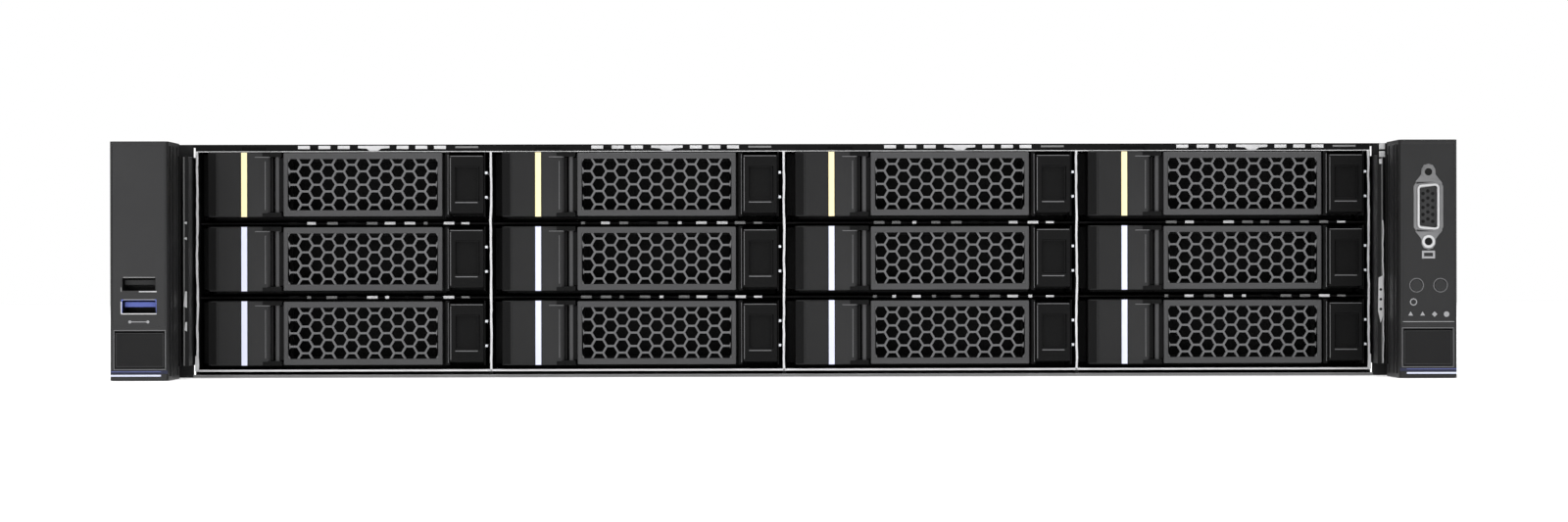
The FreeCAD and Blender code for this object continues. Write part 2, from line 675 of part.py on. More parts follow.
def hinge_lugs(left, foot):
    """Upper and lower lug for the lever's pin, from the block and the back plate."""
    x, y = pivot_at(left)
    start = left + BLOCK_START + BLOCK_WIDTH - BLOCK_CHAMFER - BITE
    feet = (foot, foot + BEZEL_HEIGHT - LUG_HEIGHT)
    return [box(start, x + LUG_HALF, y - LUG_HALF, BEZEL_BACK, z, z + LUG_HEIGHT) for z in feet]


def pipe(left, z):
    """Square light pipe along the outside of the right post and rail."""
    outer = left + BAY_WIDTH - RAIL_INSET
    return box(outer - PIPE, outer, FACE, DRIVE_BACK, z - PIPE / 2, z + PIPE / 2)


def drive(left, foot):
    """3.5-inch drive, a sealed block."""
    x0 = left + DRIVE_SIDE
    z0 = foot - BEZEL_LIFT
    return box(x0, x0 + DRIVE_WIDTH, DRIVE_FRONT, DRIVE_BACK, z0, z0 + DRIVE_HEIGHT)


def carrier(left, foot):
    """All the pieces that slide together: frame, coloured strip, light pipes and drive."""
    groove_left = left + BLOCK_START + STRIP_START
    strip = box(groove_left, groove_left + STRIP_WIDTH, FACE, FACE + STRIP_DEPTH, foot, foot + BEZEL_HEIGHT)
    pipes = [pipe(left, foot + height) for height in PIPE_HEIGHTS]
    return [carrier_frame(left, foot), strip, drive(left, foot)] + pipes


def hexagon(x, z, across, y0, y1):
    """Six-sided cutter with flats above and below, along Y."""
    points = [(x + aside, y0, z + up) for aside, up in regular(6, across / math.sqrt(3), 0.0)]
    return prism(points, (0, y1 - y0, 0))


def honeycomb(left, foot, y0, y1):
    """Cutters for the lever's cells: columns side by side, every other one with one cell less."""
    centre = left + LEVER_START + LEVER_WIDTH / 2
    middle = foot + BEZEL_HEIGHT / 2
    cells = []
    for column in range(CELL_COLUMNS):
        x = centre + CELL_COLUMN_PITCH * (column - (CELL_COLUMNS - 1) / 2)
        count = CELLS_PER_COLUMN - column % 2
        for number in range(count):
            z = middle + CELL_PITCH * (number - (count - 1) / 2)
            cells.append(hexagon(x, z, CELL_PITCH - CELL_WEB, y0, y1))
    return cells


def lever(left, foot):
    """Honeycomb handle with a web to its upright pin."""
    x, y = pivot_at(left)
    front = FACE - LEVER_PROUD
    back = front + LEVER_THICKNESS
    z0 = foot + LEVER_MARGIN
    z1 = foot + BEZEL_HEIGHT - LEVER_MARGIN
    web_foot = foot + LUG_HEIGHT + SLIDE_GAP
    web_top = foot + BEZEL_HEIGHT - LUG_HEIGHT - SLIDE_GAP
    plate = box(left + LEVER_START, left + LEVER_START + LEVER_WIDTH, front, back, z0, z1)
    plate = without(plate, *honeycomb(left, foot, front - OVER, back + OVER))
    web = box(x, left + LEVER_START + BITE, y - WEB / 2, y + WEB / 2, web_foot, web_top)
    outline = [(x + across, y + along, z0) for across, along in regular(PIN_SIDES, PIN_RADIUS)]
    pin = prism(outline, (0, 0, z1 - z0))
    return joined(plate, web, pin)


def release_button(left, foot):
    """Push button beside the lever, with a finger recess."""
    x0 = button_left(left)
    front = FACE - BUTTON_PROUD
    z0 = foot + BUTTON_MARGIN
    z1 = foot + BEZEL_HEIGHT - BUTTON_MARGIN
    body = box(x0, x0 + BUTTON_WIDTH, front, front + BUTTON_DEPTH, z0, z1)
    finger_x = x0 + (BUTTON_WIDTH - FINGER_WIDTH) / 2 + FINGER_SHIFT
    low = (z0 + z1 - FINGER_HEIGHT) / 2
    high = low + FINGER_HEIGHT
    scoop = prism(
        [(finger_x, front - OVER, low), (finger_x, front + FINGER_DEPTH, low + FINGER_DEPTH),
         (finger_x, front + FINGER_DEPTH, high), (finger_x, front - OVER, high)],
        (FINGER_WIDTH, 0, 0),
    )
    return body.cut(scoop)


# ---------------------------------------------------------------- ears
def ear_body():
    """Right ear: rounded housing, the core behind it, and the steel flange with its leg."""
    outer = RACK_WIDTH / 2
    housing = box(EAR_INNER, outer, EAR_FRONT, EAR_BACK, 0, HEIGHT)
    housing = rounded_edges(housing, EAR_ROUND, upright_at(EAR_FRONT))
    core = box(EAR_INNER + CORE_INSET, outer - CORE_INSET, EAR_BACK - BITE, -FLANGE / 2,
               CORE_INSET, HEIGHT - CORE_INSET)
    flange = box(HALF, outer, -FLANGE, 0, 0, HEIGHT)
    leg = box(HALF, HALF + LEG_SHEET, EAR_BACK, LEG_BACK, LEG_MARGIN, HEIGHT - LEG_MARGIN)
    body = joined(housing, core, flange, leg)
    return without(body, *flap_pocket(), accent_groove(), screw_hole())


def flap_axis():
    """The flap's pin: y and z."""
    half = FLAP_THICKNESS / 2
    return EAR_FRONT + half, FLAP_FOOT + FLAP_HEIGHT - half


def flap_pocket():
    """Recess for the flap, the well behind it, and the square sockets for its pins."""
    x0 = FLAP_LEFT
    x1 = FLAP_LEFT + FLAP_WIDTH
    top = FLAP_FOOT + FLAP_HEIGHT
    seat = box(x0 - FLAP_GAP, x1 + FLAP_GAP, EAR_FRONT - OVER, EAR_FRONT + FLAP_THICKNESS + FLAP_GAP,
               FLAP_FOOT - FLAP_GAP, top + FLAP_GAP)
    well = box(x0 + WELL_SIDE, x1 - WELL_SIDE, EAR_FRONT, EAR_FRONT + WELL_DEPTH,
               FLAP_FOOT + WELL_FOOT, top - WELL_FOOT)
    y, z = flap_axis()
    reach = FLAP_PIN_LENGTH + FLAP_GAP
    half = FLAP_PIN + PIN_CLEARANCE
    sockets = box(x0 - reach, x1 + reach, y - half, y + half, z - half, z + half)
    return [seat, well, sockets]


def accent_groove():
    """Cutter for the shallow groove across the ear's foot."""
    return box(EAR_INNER - OVER, RACK_WIDTH / 2 + OVER, EAR_FRONT - OVER, EAR_FRONT + GROOVE_DEPTH,
               GROOVE_FOOT, GROOVE_FOOT + GROOVE_HEIGHT)


def screw_hole():
    """Cutter for the rack screw, from the well to the flange's back."""
    start = EAR_FRONT + WELL_DEPTH - OVER
    return rod(SCREW_RADIUS + SCREW_CLEARANCE, (SCREW_X, start, SCREW_HEIGHT), (0, 1, 0), OVER - start)


def ear_flap():
    """Flap over the rack screw, on a pin along its round upper edge, with a finger nick below."""
    x0 = FLAP_LEFT
    y, z = flap_axis()
    half = FLAP_THICKNESS / 2
    plate = box(x0, x0 + FLAP_WIDTH, EAR_FRONT, EAR_FRONT + FLAP_THICKNESS, FLAP_FOOT, z)
    barrel = rod(half, (x0, y, z), (1, 0, 0), FLAP_WIDTH)
    start = x0 - FLAP_PIN_LENGTH
    outline = [(start, y + along, z + up) for along, up in regular(PIN_SIDES, FLAP_PIN)]
    pin = prism(outline, (FLAP_WIDTH + 2 * FLAP_PIN_LENGTH, 0, 0))
    nick_left = x0 + FLAP_WIDTH * (1 - NICK_SHARE) / 2
    nick = box(nick_left, nick_left + FLAP_WIDTH * NICK_SHARE, EAR_FRONT + half, EAR_FRONT + FLAP_THICKNESS + OVER,
               FLAP_FOOT - OVER, FLAP_FOOT + half)
    return without(joined(plate, barrel, pin), nick)


def usb_box(number, inset, front, back):
    """A block inside the left ear's socket outline, inset all round."""
    half = USB_WIDTH / 2 - inset
    z = USB_LOWEST + USB_PITCH * number
    return box(-EAR_CENTRE - half, -EAR_CENTRE + half, front, back, z + inset, z + USB_HEIGHT - inset)


def vga_outline(grow, y0, y1):
    """The socket's D-shaped outline on the right ear, long side towards the edge, grown on every side."""
    half_thick = VGA_THICK / 2 + grow
    half_long = VGA_LONG / 2 + grow
    half_short = VGA_SHORT / 2 + grow
    inner = EAR_CENTRE - half_thick
    outer = EAR_CENTRE + half_thick
    points = [
        (inner, y0, VGA_CENTRE - half_short), (outer, y0, VGA_CENTRE - half_long),
        (outer, y0, VGA_CENTRE + half_long), (inner, y0, VGA_CENTRE + half_short),
    ]
    return prism(points, (0, y1 - y0, 0))


def jack_heights():
    """Heights of the two jack screws."""
    return [VGA_CENTRE + side * JACK_SPACING / 2 for side in (-1, 1)]


def push_x(side):
    """Place of a round button, on the inner (-1) or the outer (1) side."""
    return EAR_CENTRE + side * PUSH_SPACING / 2


def ear_right():
    """Ear with the display socket's recess and the two round button bores."""
    cutters = [vga_outline(VGA_MARGIN, EAR_FRONT - OVER, EAR_FRONT + VGA_DEPTH)]
    for z in jack_heights():
        seat = JACK_RADIUS + FLAP_GAP
        cutters.append(polygon_bar(JACK_SIDES, seat, EAR_CENTRE, z, EAR_FRONT - OVER, EAR_FRONT + JACK_LENGTH))
    depth = PUSH_LENGTH + PUSH_TRAVEL + FLAP_GAP
    for side in (-1, 1):
        start = (push_x(side), EAR_FRONT - OVER, PUSH_HEIGHT)
        cutters.append(rod(PUSH_RADIUS + PUSH_CLEARANCE, start, (0, 1, 0), OVER + depth))
    return without(ear_body(), *cutters)


def ear_left():
    """Ear with its socket pockets."""
    pockets = [usb_box(number, 0.0, EAR_FRONT - OVER, EAR_FRONT + USB_DEPTH) for number in range(USBS)]
    return without(mirrored(ear_body()), *pockets)


def usb_socket(number):
    """Steel shell with its tongue."""
    bottom = EAR_FRONT + USB_DEPTH - USB_BACK_WALL
    shell = usb_box(number, 0.0, EAR_FRONT, EAR_FRONT + USB_DEPTH)
    inside = usb_box(number, USB_WALL, EAR_FRONT - OVER, bottom)
    half = TONGUE_WIDTH / 2
    top = USB_LOWEST + USB_PITCH * number + USB_HEIGHT - USB_WALL - TONGUE_GAP
    tongue = box(-EAR_CENTRE - half, -EAR_CENTRE + half, bottom - TONGUE_DEPTH, bottom, top - TONGUE_THICKNESS, top)
    return [shell.cut(inside), tongue]


def vga_socket():
    """D-shaped shell with its flange round the contact block, and two jack screws."""
    front = EAR_FRONT + VGA_PLAY
    back = EAR_FRONT + VGA_DEPTH
    shell = joined(vga_outline(0.0, front, back), vga_outline(VGA_MARGIN, back - VGA_FLANGE, back))
    shell = shell.cut(vga_outline(-VGA_WALL, front - OVER, back + OVER))
    block = vga_outline(-VGA_WALL, front + VGA_BLOCK_SETBACK, back)
    return [shell, block] + [jack_screw(z) for z in jack_heights()]


def jack_screw(z):
    """Six-sided standoff with an open thread."""
    nut = polygon_bar(JACK_SIDES, JACK_RADIUS, EAR_CENTRE, z, EAR_FRONT - VGA_PLAY, EAR_FRONT + JACK_LENGTH)
    return nut.cut(polygon_bar(PIN_SIDES, JACK_BORE, EAR_CENTRE, z, EAR_FRONT - OVER, EAR_FRONT + JACK_BORE_DEPTH))


def rack_screw(side):
    """Captive screw behind a flap: knob, plain neck and thread."""
    x = side * SCREW_X
    seat = EAR_FRONT + WELL_DEPTH
    knob = polygon_bar(SCREW_KNOB_SIDES, SCREW_KNOB_RADIUS, x, SCREW_HEIGHT, seat - SCREW_KNOB_LENGTH, seat)
    neck = polygon_bar(PIN_SIDES, SCREW_NECK_RADIUS, x, SCREW_HEIGHT, seat - BITE, SCREW_THREAD_START + BITE)
    thread = rod(SCREW_RADIUS, (x, SCREW_THREAD_START, SCREW_HEIGHT), (0, 1, 0), SCREW_TIP - SCREW_THREAD_START)
    return joined(knob, neck, thread)


def push_button(x):
    """Round button."""
    return rod(PUSH_RADIUS, (x, EAR_FRONT - PUSH_PROUD, PUSH_HEIGHT), (0, 1, 0), PUSH_LENGTH)


# ---------------------------------------------------------------- fans
def fan_x(number):
    """Middle of a fan, counted from the left."""
    return FAN_PITCH * (number - (FANS - 1) / 2)


def fan_cage():
    """Base sheet with a pair of guide plates for each fan."""
    base = box(-CAGE_HALF, CAGE_HALF, FAN_FRONT - FAN_BASE_MARGIN, FAN_BACK + FAN_BASE_MARGIN,
               SHEET, SHEET + GUIDE)
    guides = []
    for number in range(FANS):
        left = fan_x(number) - FAN_SIZE / 2
        for x in (left - GUIDE, left + FAN_SIZE):
            guides.append(box(x, x + GUIDE, FAN_FRONT, FAN_BACK, SHEET, FAN_AXIS + GUIDE_HEIGHT))
    return joined(base, *guides)


def fan_housing(number):
    """Square frame with a round duct, and the stator on four struts at the back."""
    x = fan_x(number)
    z = FAN_AXIS
    half = FAN_SIZE / 2
    frame = box(x - half, x + half, FAN_FRONT, FAN_BACK, z - half, z + half)
    frame = frame.cut(polygon_bar(DUCT_SIDES, DUCT_RADIUS, x, z, FAN_FRONT - OVER, FAN_BACK + OVER))
    stator = polygon_bar(HUB_SIDES, STATOR_RADIUS, x, z, FAN_BACK - STATOR_LENGTH, FAN_BACK)
    reach = DUCT_RADIUS + OVER
    thick = STRUT_WIDTH / 2
    front = FAN_BACK - STRUT_WIDTH
    across = box(x - reach, x + reach, front, FAN_BACK, z - thick, z + thick)
    upright = box(x - thick, x + thick, front, FAN_BACK, z - reach, z + reach)
    socket = SHAFT_RADIUS + SHAFT_CLEARANCE
    bearing = box(x - socket, x + socket, FAN_BACK - STATOR_LENGTH - OVER, FAN_BACK + OVER, z - socket, z + socket)
    return joined(frame, stator, across, upright).cut(bearing)


def fan_rotor(number):
    """Hub with its blades and shaft."""
    x = fan_x(number)
    z = FAN_AXIS
    hub_back = FAN_BACK - STATOR_LENGTH - SLIDE_GAP
    hub_front = hub_back - HUB_LENGTH
    hub = polygon_bar(HUB_SIDES, HUB_RADIUS, x, z, hub_front, hub_back)
    shaft = rod(SHAFT_RADIUS, (x, hub_back - BITE, z), (0, 1, 0), FAN_BACK - hub_back)
    centre = Vector(x, hub_back - HUB_LENGTH / 2, z)
    tip = DUCT_RADIUS * math.cos(math.pi / DUCT_SIDES) - BLADE_TIP_GAP
    root = HUB_RADIUS - BLADE_ROOT
    chord = HUB_LENGTH * BLADE_CHORD
    blades = []
    for turn in range(BLADES):
        blade = Part.makeBox(BLADE_THICKNESS, chord, tip - root,
                             Vector(x - BLADE_THICKNESS / 2, centre.y - chord / 2, z + root))
        blade.rotate(centre, Vector(0, 0, 1), BLADE_ANGLE)
        blade.rotate(centre, Vector(0, 1, 0), 360.0 * turn / BLADES)
        blades.append(blade)
    return joined(hub, shaft, *blades)


# ---------------------------------------------------------------- main board
def mainboard():
    """Circuit board, processor sockets, heat sinks, memory slots and modules, rear port blocks."""
    pieces = [box(BOARD_LEFT, BOARD_RIGHT, MAIN_FRONT, MAIN_BACK, SHEET + STANDOFF, BOARD_TOP)]
    for place in SINK_PLACES:
        x = BOARD_LEFT + MAIN_WIDTH * place
        pieces += [processor_socket(x), heat_sink(x)]
    for start, count in memory_banks():
        for number in range(count):
            pieces += memory(start + MODULE_PITCH * number)
    front = MAIN_BACK - PORT_DEPTH
    for x, width, height in ports():
        top = BOARD_TOP + height - PORT_GAP
        pieces.append(box(x + PORT_GAP, x + width - PORT_GAP, front, CHASSIS_LENGTH, BOARD_TOP, top))
    return pieces


def memory_banks():
    """Left edge of the first module and number of modules in each bank."""
    middle = BOARD_LEFT + MAIN_WIDTH * sum(SINK_PLACES) / len(SINK_PLACES)
    return [
        (BOARD_LEFT + BANK_MARGIN, SIDE_BANK),
        (middle - MODULE_PITCH * MIDDLE_BANK / 2, MIDDLE_BANK),
        (BOARD_RIGHT - BANK_MARGIN - MODULE_PITCH * SIDE_BANK, SIDE_BANK),
    ]


def processor_socket(x):
    """Low block between the board and a heat sink."""
    y = MODULE_FRONT + MODULE_LENGTH / 2
    half = SINK_WIDTH / 2 - SOCKET_INSET
    return box(x - half, x + half, y - half, y + half, BOARD_TOP, BOARD_TOP + SOCKET_HEIGHT)


def heat_sink(x):
    """Base plate with upright fins along the air flow."""
    y = MODULE_FRONT + (MODULE_LENGTH - SINK_LENGTH) / 2
    z = BOARD_TOP + SOCKET_HEIGHT
    left = x - SINK_WIDTH / 2
    pitch = (SINK_WIDTH - FIN) / (SINK_FINS - 1)
    points = [(left, y, z), (left + SINK_WIDTH, y, z)]
    for number in reversed(range(SINK_FINS)):
        fin_left = left + pitch * number
        points += [(fin_left + FIN, y, z + SINK_HEIGHT), (fin_left, y, z + SINK_HEIGHT)]
        if number:
            previous = left + pitch * (number - 1) + FIN
            points += [(fin_left, y, z + SINK_BASE), (previous, y, z + SINK_BASE)]
    return prism(points, (0, SINK_LENGTH, 0))


def memory(x):
    """Slot and module."""
    front = MODULE_FRONT
    back = MODULE_FRONT + MODULE_LENGTH
    slot_top = BOARD_TOP + SLOT_HEIGHT
    slot = box(x - SLOT_WALL, x + MODULE_THICKNESS + SLOT_WALL, front - SLOT_OVERHANG, back + SLOT_OVERHANG,
               BOARD_TOP, slot_top)
    return [slot, box(x, x + MODULE_THICKNESS, front, back, slot_top, slot_top + MODULE_HEIGHT)]


def air_duct():
    """Hood over the heat sinks and memory: top sheet with a sloped tail, and two side walls."""
    slope_top = HOOD_TOP - HOOD_SLOPE / 2
    slope_start = HOOD_BACK - HOOD_SLOPE
    left = BOARD_LEFT
    outline = [
        (left, HOOD_FRONT, HOOD_TOP), (left, slope_start, HOOD_TOP), (left, HOOD_BACK, slope_top),
        (left, HOOD_BACK, slope_top - HOOD_SHEET), (left, slope_start, HOOD_TOP - HOOD_SHEET),
        (left, HOOD_FRONT, HOOD_TOP - HOOD_SHEET),
    ]
    top = prism(outline, (MAIN_WIDTH, 0, 0))
    notch_back = HOOD_FRONT + HOOD_NOTCH_LENGTH
    notch_top = BOARD_TOP + HOOD_NOTCH_HEIGHT
    walls = []
    for x in (left, BOARD_RIGHT - HOOD_SHEET):
        wall = [
            (x, HOOD_FRONT, notch_top), (x, notch_back, notch_top), (x, notch_back, BOARD_TOP),
            (x, HOOD_BACK, BOARD_TOP), (x, HOOD_BACK, slope_top), (x, slope_start, HOOD_TOP),
            (x, HOOD_FRONT, HOOD_TOP),
        ]
        walls.append(prism(wall, (HOOD_SHEET, 0, 0)))
    return joined(top, *walls)


def riser_cage(number):
    """Bracket with slot covers, a side sheet and a roof, carrying the riser board."""
    left = riser_left(number)
    right = left + RISER_WIDTH
    front = REAR_INSIDE - RISER_LENGTH
    top = slot_foot(SLOTS)
    plate = box(left, right, REAR_INSIDE - SHEET, REAR_INSIDE, RISER_FOOT, top)
    roof = box(left, right, front, REAR_INSIDE, top - SHEET, top)
    side = box(left, left + SHEET, front, REAR_INSIDE, BOARD_TOP, top)
    vents = []
    for slot in range(SLOTS):
        foot = slot_foot(slot) + SLOT_VENT_INSET
        high = slot_foot(slot + 1) - SLOT_VENT_INSET
        for vent in range(SLOT_VENTS):
            x = left + SLOT_VENT_MARGIN + (SLOT_VENT_LENGTH + SLOT_VENT_GAP) * vent
            vents.append(box(x, x + SLOT_VENT_LENGTH, REAR_INSIDE - SHEET - OVER, REAR_INSIDE + OVER, foot, high))
    cage = without(joined(plate, roof, side), *vents)
    board = box(left + SHEET, left + SHEET + BOARD, front + RISER_BOARD_FRONT, REAR_INSIDE - RISER_BOARD_BACK,
                BOARD_TOP, top - SHEET)
    return [cage, board]


# ---------------------------------------------------------------- power supplies
def psu_foot(number):
    """Underside of a power supply, counted from the lower one."""
    return PSU_FOOT + PSU_PITCH * number


def psu(number):
    """Body with its inlet recess, fan grille, fixed handle and the lugs of its release tab."""
    z0 = psu_foot(number)
    middle = z0 + PSU_HEIGHT / 2
    body = box(PSU_LEFT, PSU_RIGHT, PSU_FRONT, PSU_BACK, z0, z0 + PSU_HEIGHT)
    inlet_x = PSU_LEFT + INLET_MARGIN
    inlet_front = PSU_BACK - INLET_DEPTH
    inlet = box(inlet_x, inlet_x + INLET_WIDTH, inlet_front, PSU_BACK + OVER,
                middle - INLET_HEIGHT / 2, middle + INLET_HEIGHT / 2)
    pins = []
    for across, up in INLET_PINS:
        x = inlet_x + across - INLET_PIN_WIDTH / 2
        z = middle + up - INLET_PIN_HEIGHT / 2
        pins.append(box(x, x + INLET_PIN_WIDTH, inlet_front - BITE, PSU_BACK - INLET_PIN_SETBACK,
                        z, z + INLET_PIN_HEIGHT))
    tail = box(PSU_LEFT + TAIL_INSET, PSU_RIGHT - TAIL_INSET, PSU_FRONT - TAIL_LENGTH, PSU_FRONT + BITE,
               middle - TAIL_THICKNESS / 2, middle + TAIL_THICKNESS / 2)
    grille_x = PSU_RIGHT - GRILLE_RADIUS - GRILLE_MARGIN
    grille = polygon_bar(GRILLE_SIDES, GRILLE_RADIUS, grille_x, middle, PSU_BACK - GRILLE_DEPTH, PSU_BACK + OVER)
    shell = without(body, inlet, grille)
    return joined(shell, tail, *pins, *grille_guard(grille_x, middle), *psu_handle(z0), *latch_lugs(middle))


def grille_guard(x, z):
    """Hub and crossed arms over the fan opening."""
    front = PSU_BACK - GRILLE_SETBACK - GRILLE_ARM_DEPTH
    back = PSU_BACK - GRILLE_SETBACK
    reach = GRILLE_RADIUS + BITE
    half = GRILLE_ARM / 2
    return [
        polygon_bar(HUB_SIDES, GRILLE_RADIUS * GRILLE_HUB, x, z, PSU_BACK - GRILLE_DEPTH - BITE, back),
        box(x - reach, x + reach, front, back, z - half, z + half),
        box(x - half, x + half, front, back, z - reach, z + reach),
    ]


def psu_handle(foot):
    """Fixed loop handle: two arms and a bar."""
    z0 = foot + HANDLE_MARGIN
    z1 = z0 + HANDLE_HEIGHT
    x0 = PSU_LEFT + INLET_MARGIN + INLET_WIDTH + HANDLE_GAP
    x1 = x0 + HANDLE_BAR
    end = PSU_BACK + HANDLE_REACH
    low = box(x0, x1, PSU_BACK - BITE, end, z0, z0 + HANDLE_BAR)
    high = box(x0, x1, PSU_BACK - BITE, end, z1 - HANDLE_BAR, z1)
    bar = box(x0, x1 + HANDLE_BAR, end - HANDLE_BAR, end, z0, z1)
    return [low, high, bar]


def latch_lugs(middle):
    """Lugs above and below the release tab, each with a square hole for its pin."""
    half = LATCH_PIN + PIN_CLEARANCE
    reach = LATCH_HEIGHT / 2 + SLIDE_GAP
    lugs = []
    for z in (middle - reach - LATCH_LUG, middle + reach):
        lug = box(LATCH_X - LATCH_KNUCKLE, PSU_RIGHT, PSU_BACK - BITE, LATCH_Y + LATCH_KNUCKLE, z, z + LATCH_LUG)
        hole = box(LATCH_X - half, LATCH_X + half, LATCH_Y - half, LATCH_Y + half, z - OVER, z + LATCH_LUG + OVER)
        lugs.append(lug.cut(hole))
    return lugs


def psu_latch(number):
    """Release tab with a knuckle and an upright pin at the right edge of the power supply's rear face."""
    middle = psu_foot(number) + PSU_HEIGHT / 2
    foot = middle - LATCH_HEIGHT / 2
    tab = box(PSU_RIGHT - LATCH_THICKNESS, PSU_RIGHT, LATCH_Y, LATCH_Y + LATCH_LENGTH, foot, foot + LATCH_HEIGHT)
    knuckle = rod(LATCH_KNUCKLE, (LATCH_X, LATCH_Y, foot), (0, 0, 1), LATCH_HEIGHT)
    reach = SLIDE_GAP + LATCH_LUG
    outline = [(LATCH_X + across, LATCH_Y + along, foot - reach) for across, along in regular(PIN_SIDES, LATCH_PIN)]
    pin = prism(outline, (0, 0, LATCH_HEIGHT + 2 * reach))
    return joined(tab, knuckle, pin)


# ---------------------------------------------------------------- top cover
def cover_pin():
    """The cover latch's pin: y and z."""
    return POCKET_FRONT + COVER_PIN_SETBACK, HEIGHT - LATCH_PLATE - COVER_PIN_DROP


def top_cover():
    """Sliding cover: plate, side flanges, front lip under the fixed panel, and the latch's pocket."""
    inside = HEIGHT - SHEET / 2
    plate = box(-HALF, HALF, COVER_FRONT, COVER_BACK, TOP_UNDER, HEIGHT)
    hem = box(-CAGE_HALF, CAGE_HALF, COVER_BACK - SHEET, COVER_BACK, PSU_STACK_TOP + 2 * SLIDE_GAP, HEIGHT)
    step_back = COVER_FRONT + COVER_STEP
    flange_back = PSU_FRONT - SHEET - 2 * COVER_TRAVEL
    edge = CAGE_HALF - SLIDE_GAP
    flange_foot = TOP_UNDER - COVER_FLANGE
    left = box(-edge, -edge + SHEET, step_back, flange_back, flange_foot, inside)
    right = box(edge - SHEET, edge, step_back, flange_back, flange_foot, inside)
    lip_half = CAGE_HALF - COVER_LIP_INSET
    lip_z = TOP_UNDER - SLIDE_GAP - SHEET
    lip = box(-lip_half, lip_half, CAGE_BACK - COVER_LIP, step_back, lip_z, lip_z + SHEET)
    step = box(-lip_half, lip_half, COVER_FRONT, step_back, lip_z, inside)
    x = POCKET_WIDTH / 2
    back = POCKET_FRONT + POCKET_LENGTH
    foot = HEIGHT - POCKET_DEPTH
    pocket_shell = box(-x - SHEET, x + SHEET, POCKET_FRONT - SHEET, back + SHEET, foot - SHEET, HEIGHT)
    cover = joined(plate, hem, left, right, lip, step, pocket_shell)
    hollow = box(-x, x, POCKET_FRONT, back, foot, HEIGHT + OVER)
    y, z = cover_pin()
    half = COVER_PIN + PIN_CLEARANCE
    reach = x + SHEET + OVER
    sockets = box(-reach, reach, y - half, y + half, z - half, z + half)
    return without(cover, hollow, sockets)


def cover_latch():
    """Lift-up handle flush in the pocket, on a pin at its front end."""
    x = POCKET_WIDTH / 2 - FLAP_GAP
    y, z = cover_pin()
    back = POCKET_FRONT + POCKET_LENGTH - FLAP_GAP - POCKET_GRIP
    plate = box(-x, x, y, back, HEIGHT - LATCH_PLATE, HEIGHT)
    web = box(-x, x, y - COVER_PIN, y + COVER_PIN, z, HEIGHT - LATCH_PLATE / 2)
    reach = POCKET_WIDTH / 2 + SHEET
    pin = rod(COVER_PIN, (-reach, y, z), (1, 0, 0), 2 * reach)
    return joined(plate, web, pin)


# ---------------------------------------------------------------- build
def build():
    os.makedirs("parts", exist_ok=True)
    save("chassis_tray", chassis_tray())
    save("drive_cage", drive_cage())
    save("drive_backplane", *drive_backplane())
    number = 0
    for row in reversed(range(ROWS)):
        for column in range(COLUMNS):
            number += 1
            left = bay_left(column)
            foot = row_foot(row)
            save("carrier_%02d" % number, *carrier(left, foot))
            save("lever_%02d" % number, lever(left, foot))
            save("carrier_button_%02d" % number, release_button(left, foot))
    save("ear_left", ear_left())
    save("ear_right", ear_right())
    save("ear_latch_left", mirrored(ear_flap()))
    save("ear_latch_right", ear_flap())
    save("ear_hardware", *usb_socket(0), *usb_socket(1), *vga_socket(), rack_screw(-1), rack_screw(1))
    save("power_button", push_button(push_x(1)))
    save("locator_button", push_button(push_x(-1)))
    save("fan_cage", fan_cage(), *[fan_housing(n) for n in range(FANS)])
    for n in range(FANS):
        save("fan_rotor_%d" % (n + 1), fan_rotor(n))
    save("mainboard", *mainboard())
    save("air_duct", air_duct())
    save("riser_cages", *riser_cage(0), *riser_cage(1))
    for n in range(PSUS):
        save("psu_%d" % (n + 1), psu(n))
        save("psu_latch_%d" % (n + 1), psu_latch(n))
    save("top_cover", top_cover())
    save("cover_latch", cover_latch())


build()
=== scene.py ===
# Looks of the 2U rack server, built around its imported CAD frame.
# Blender works in metres; sizes here are in millimetres and turned to metres where a mesh is made.
# +X is to the right seen from the front, -Y is the front, +Z is up.
import bpy
import bmesh
import json
import math
import random
from mathutils import Matrix, Vector

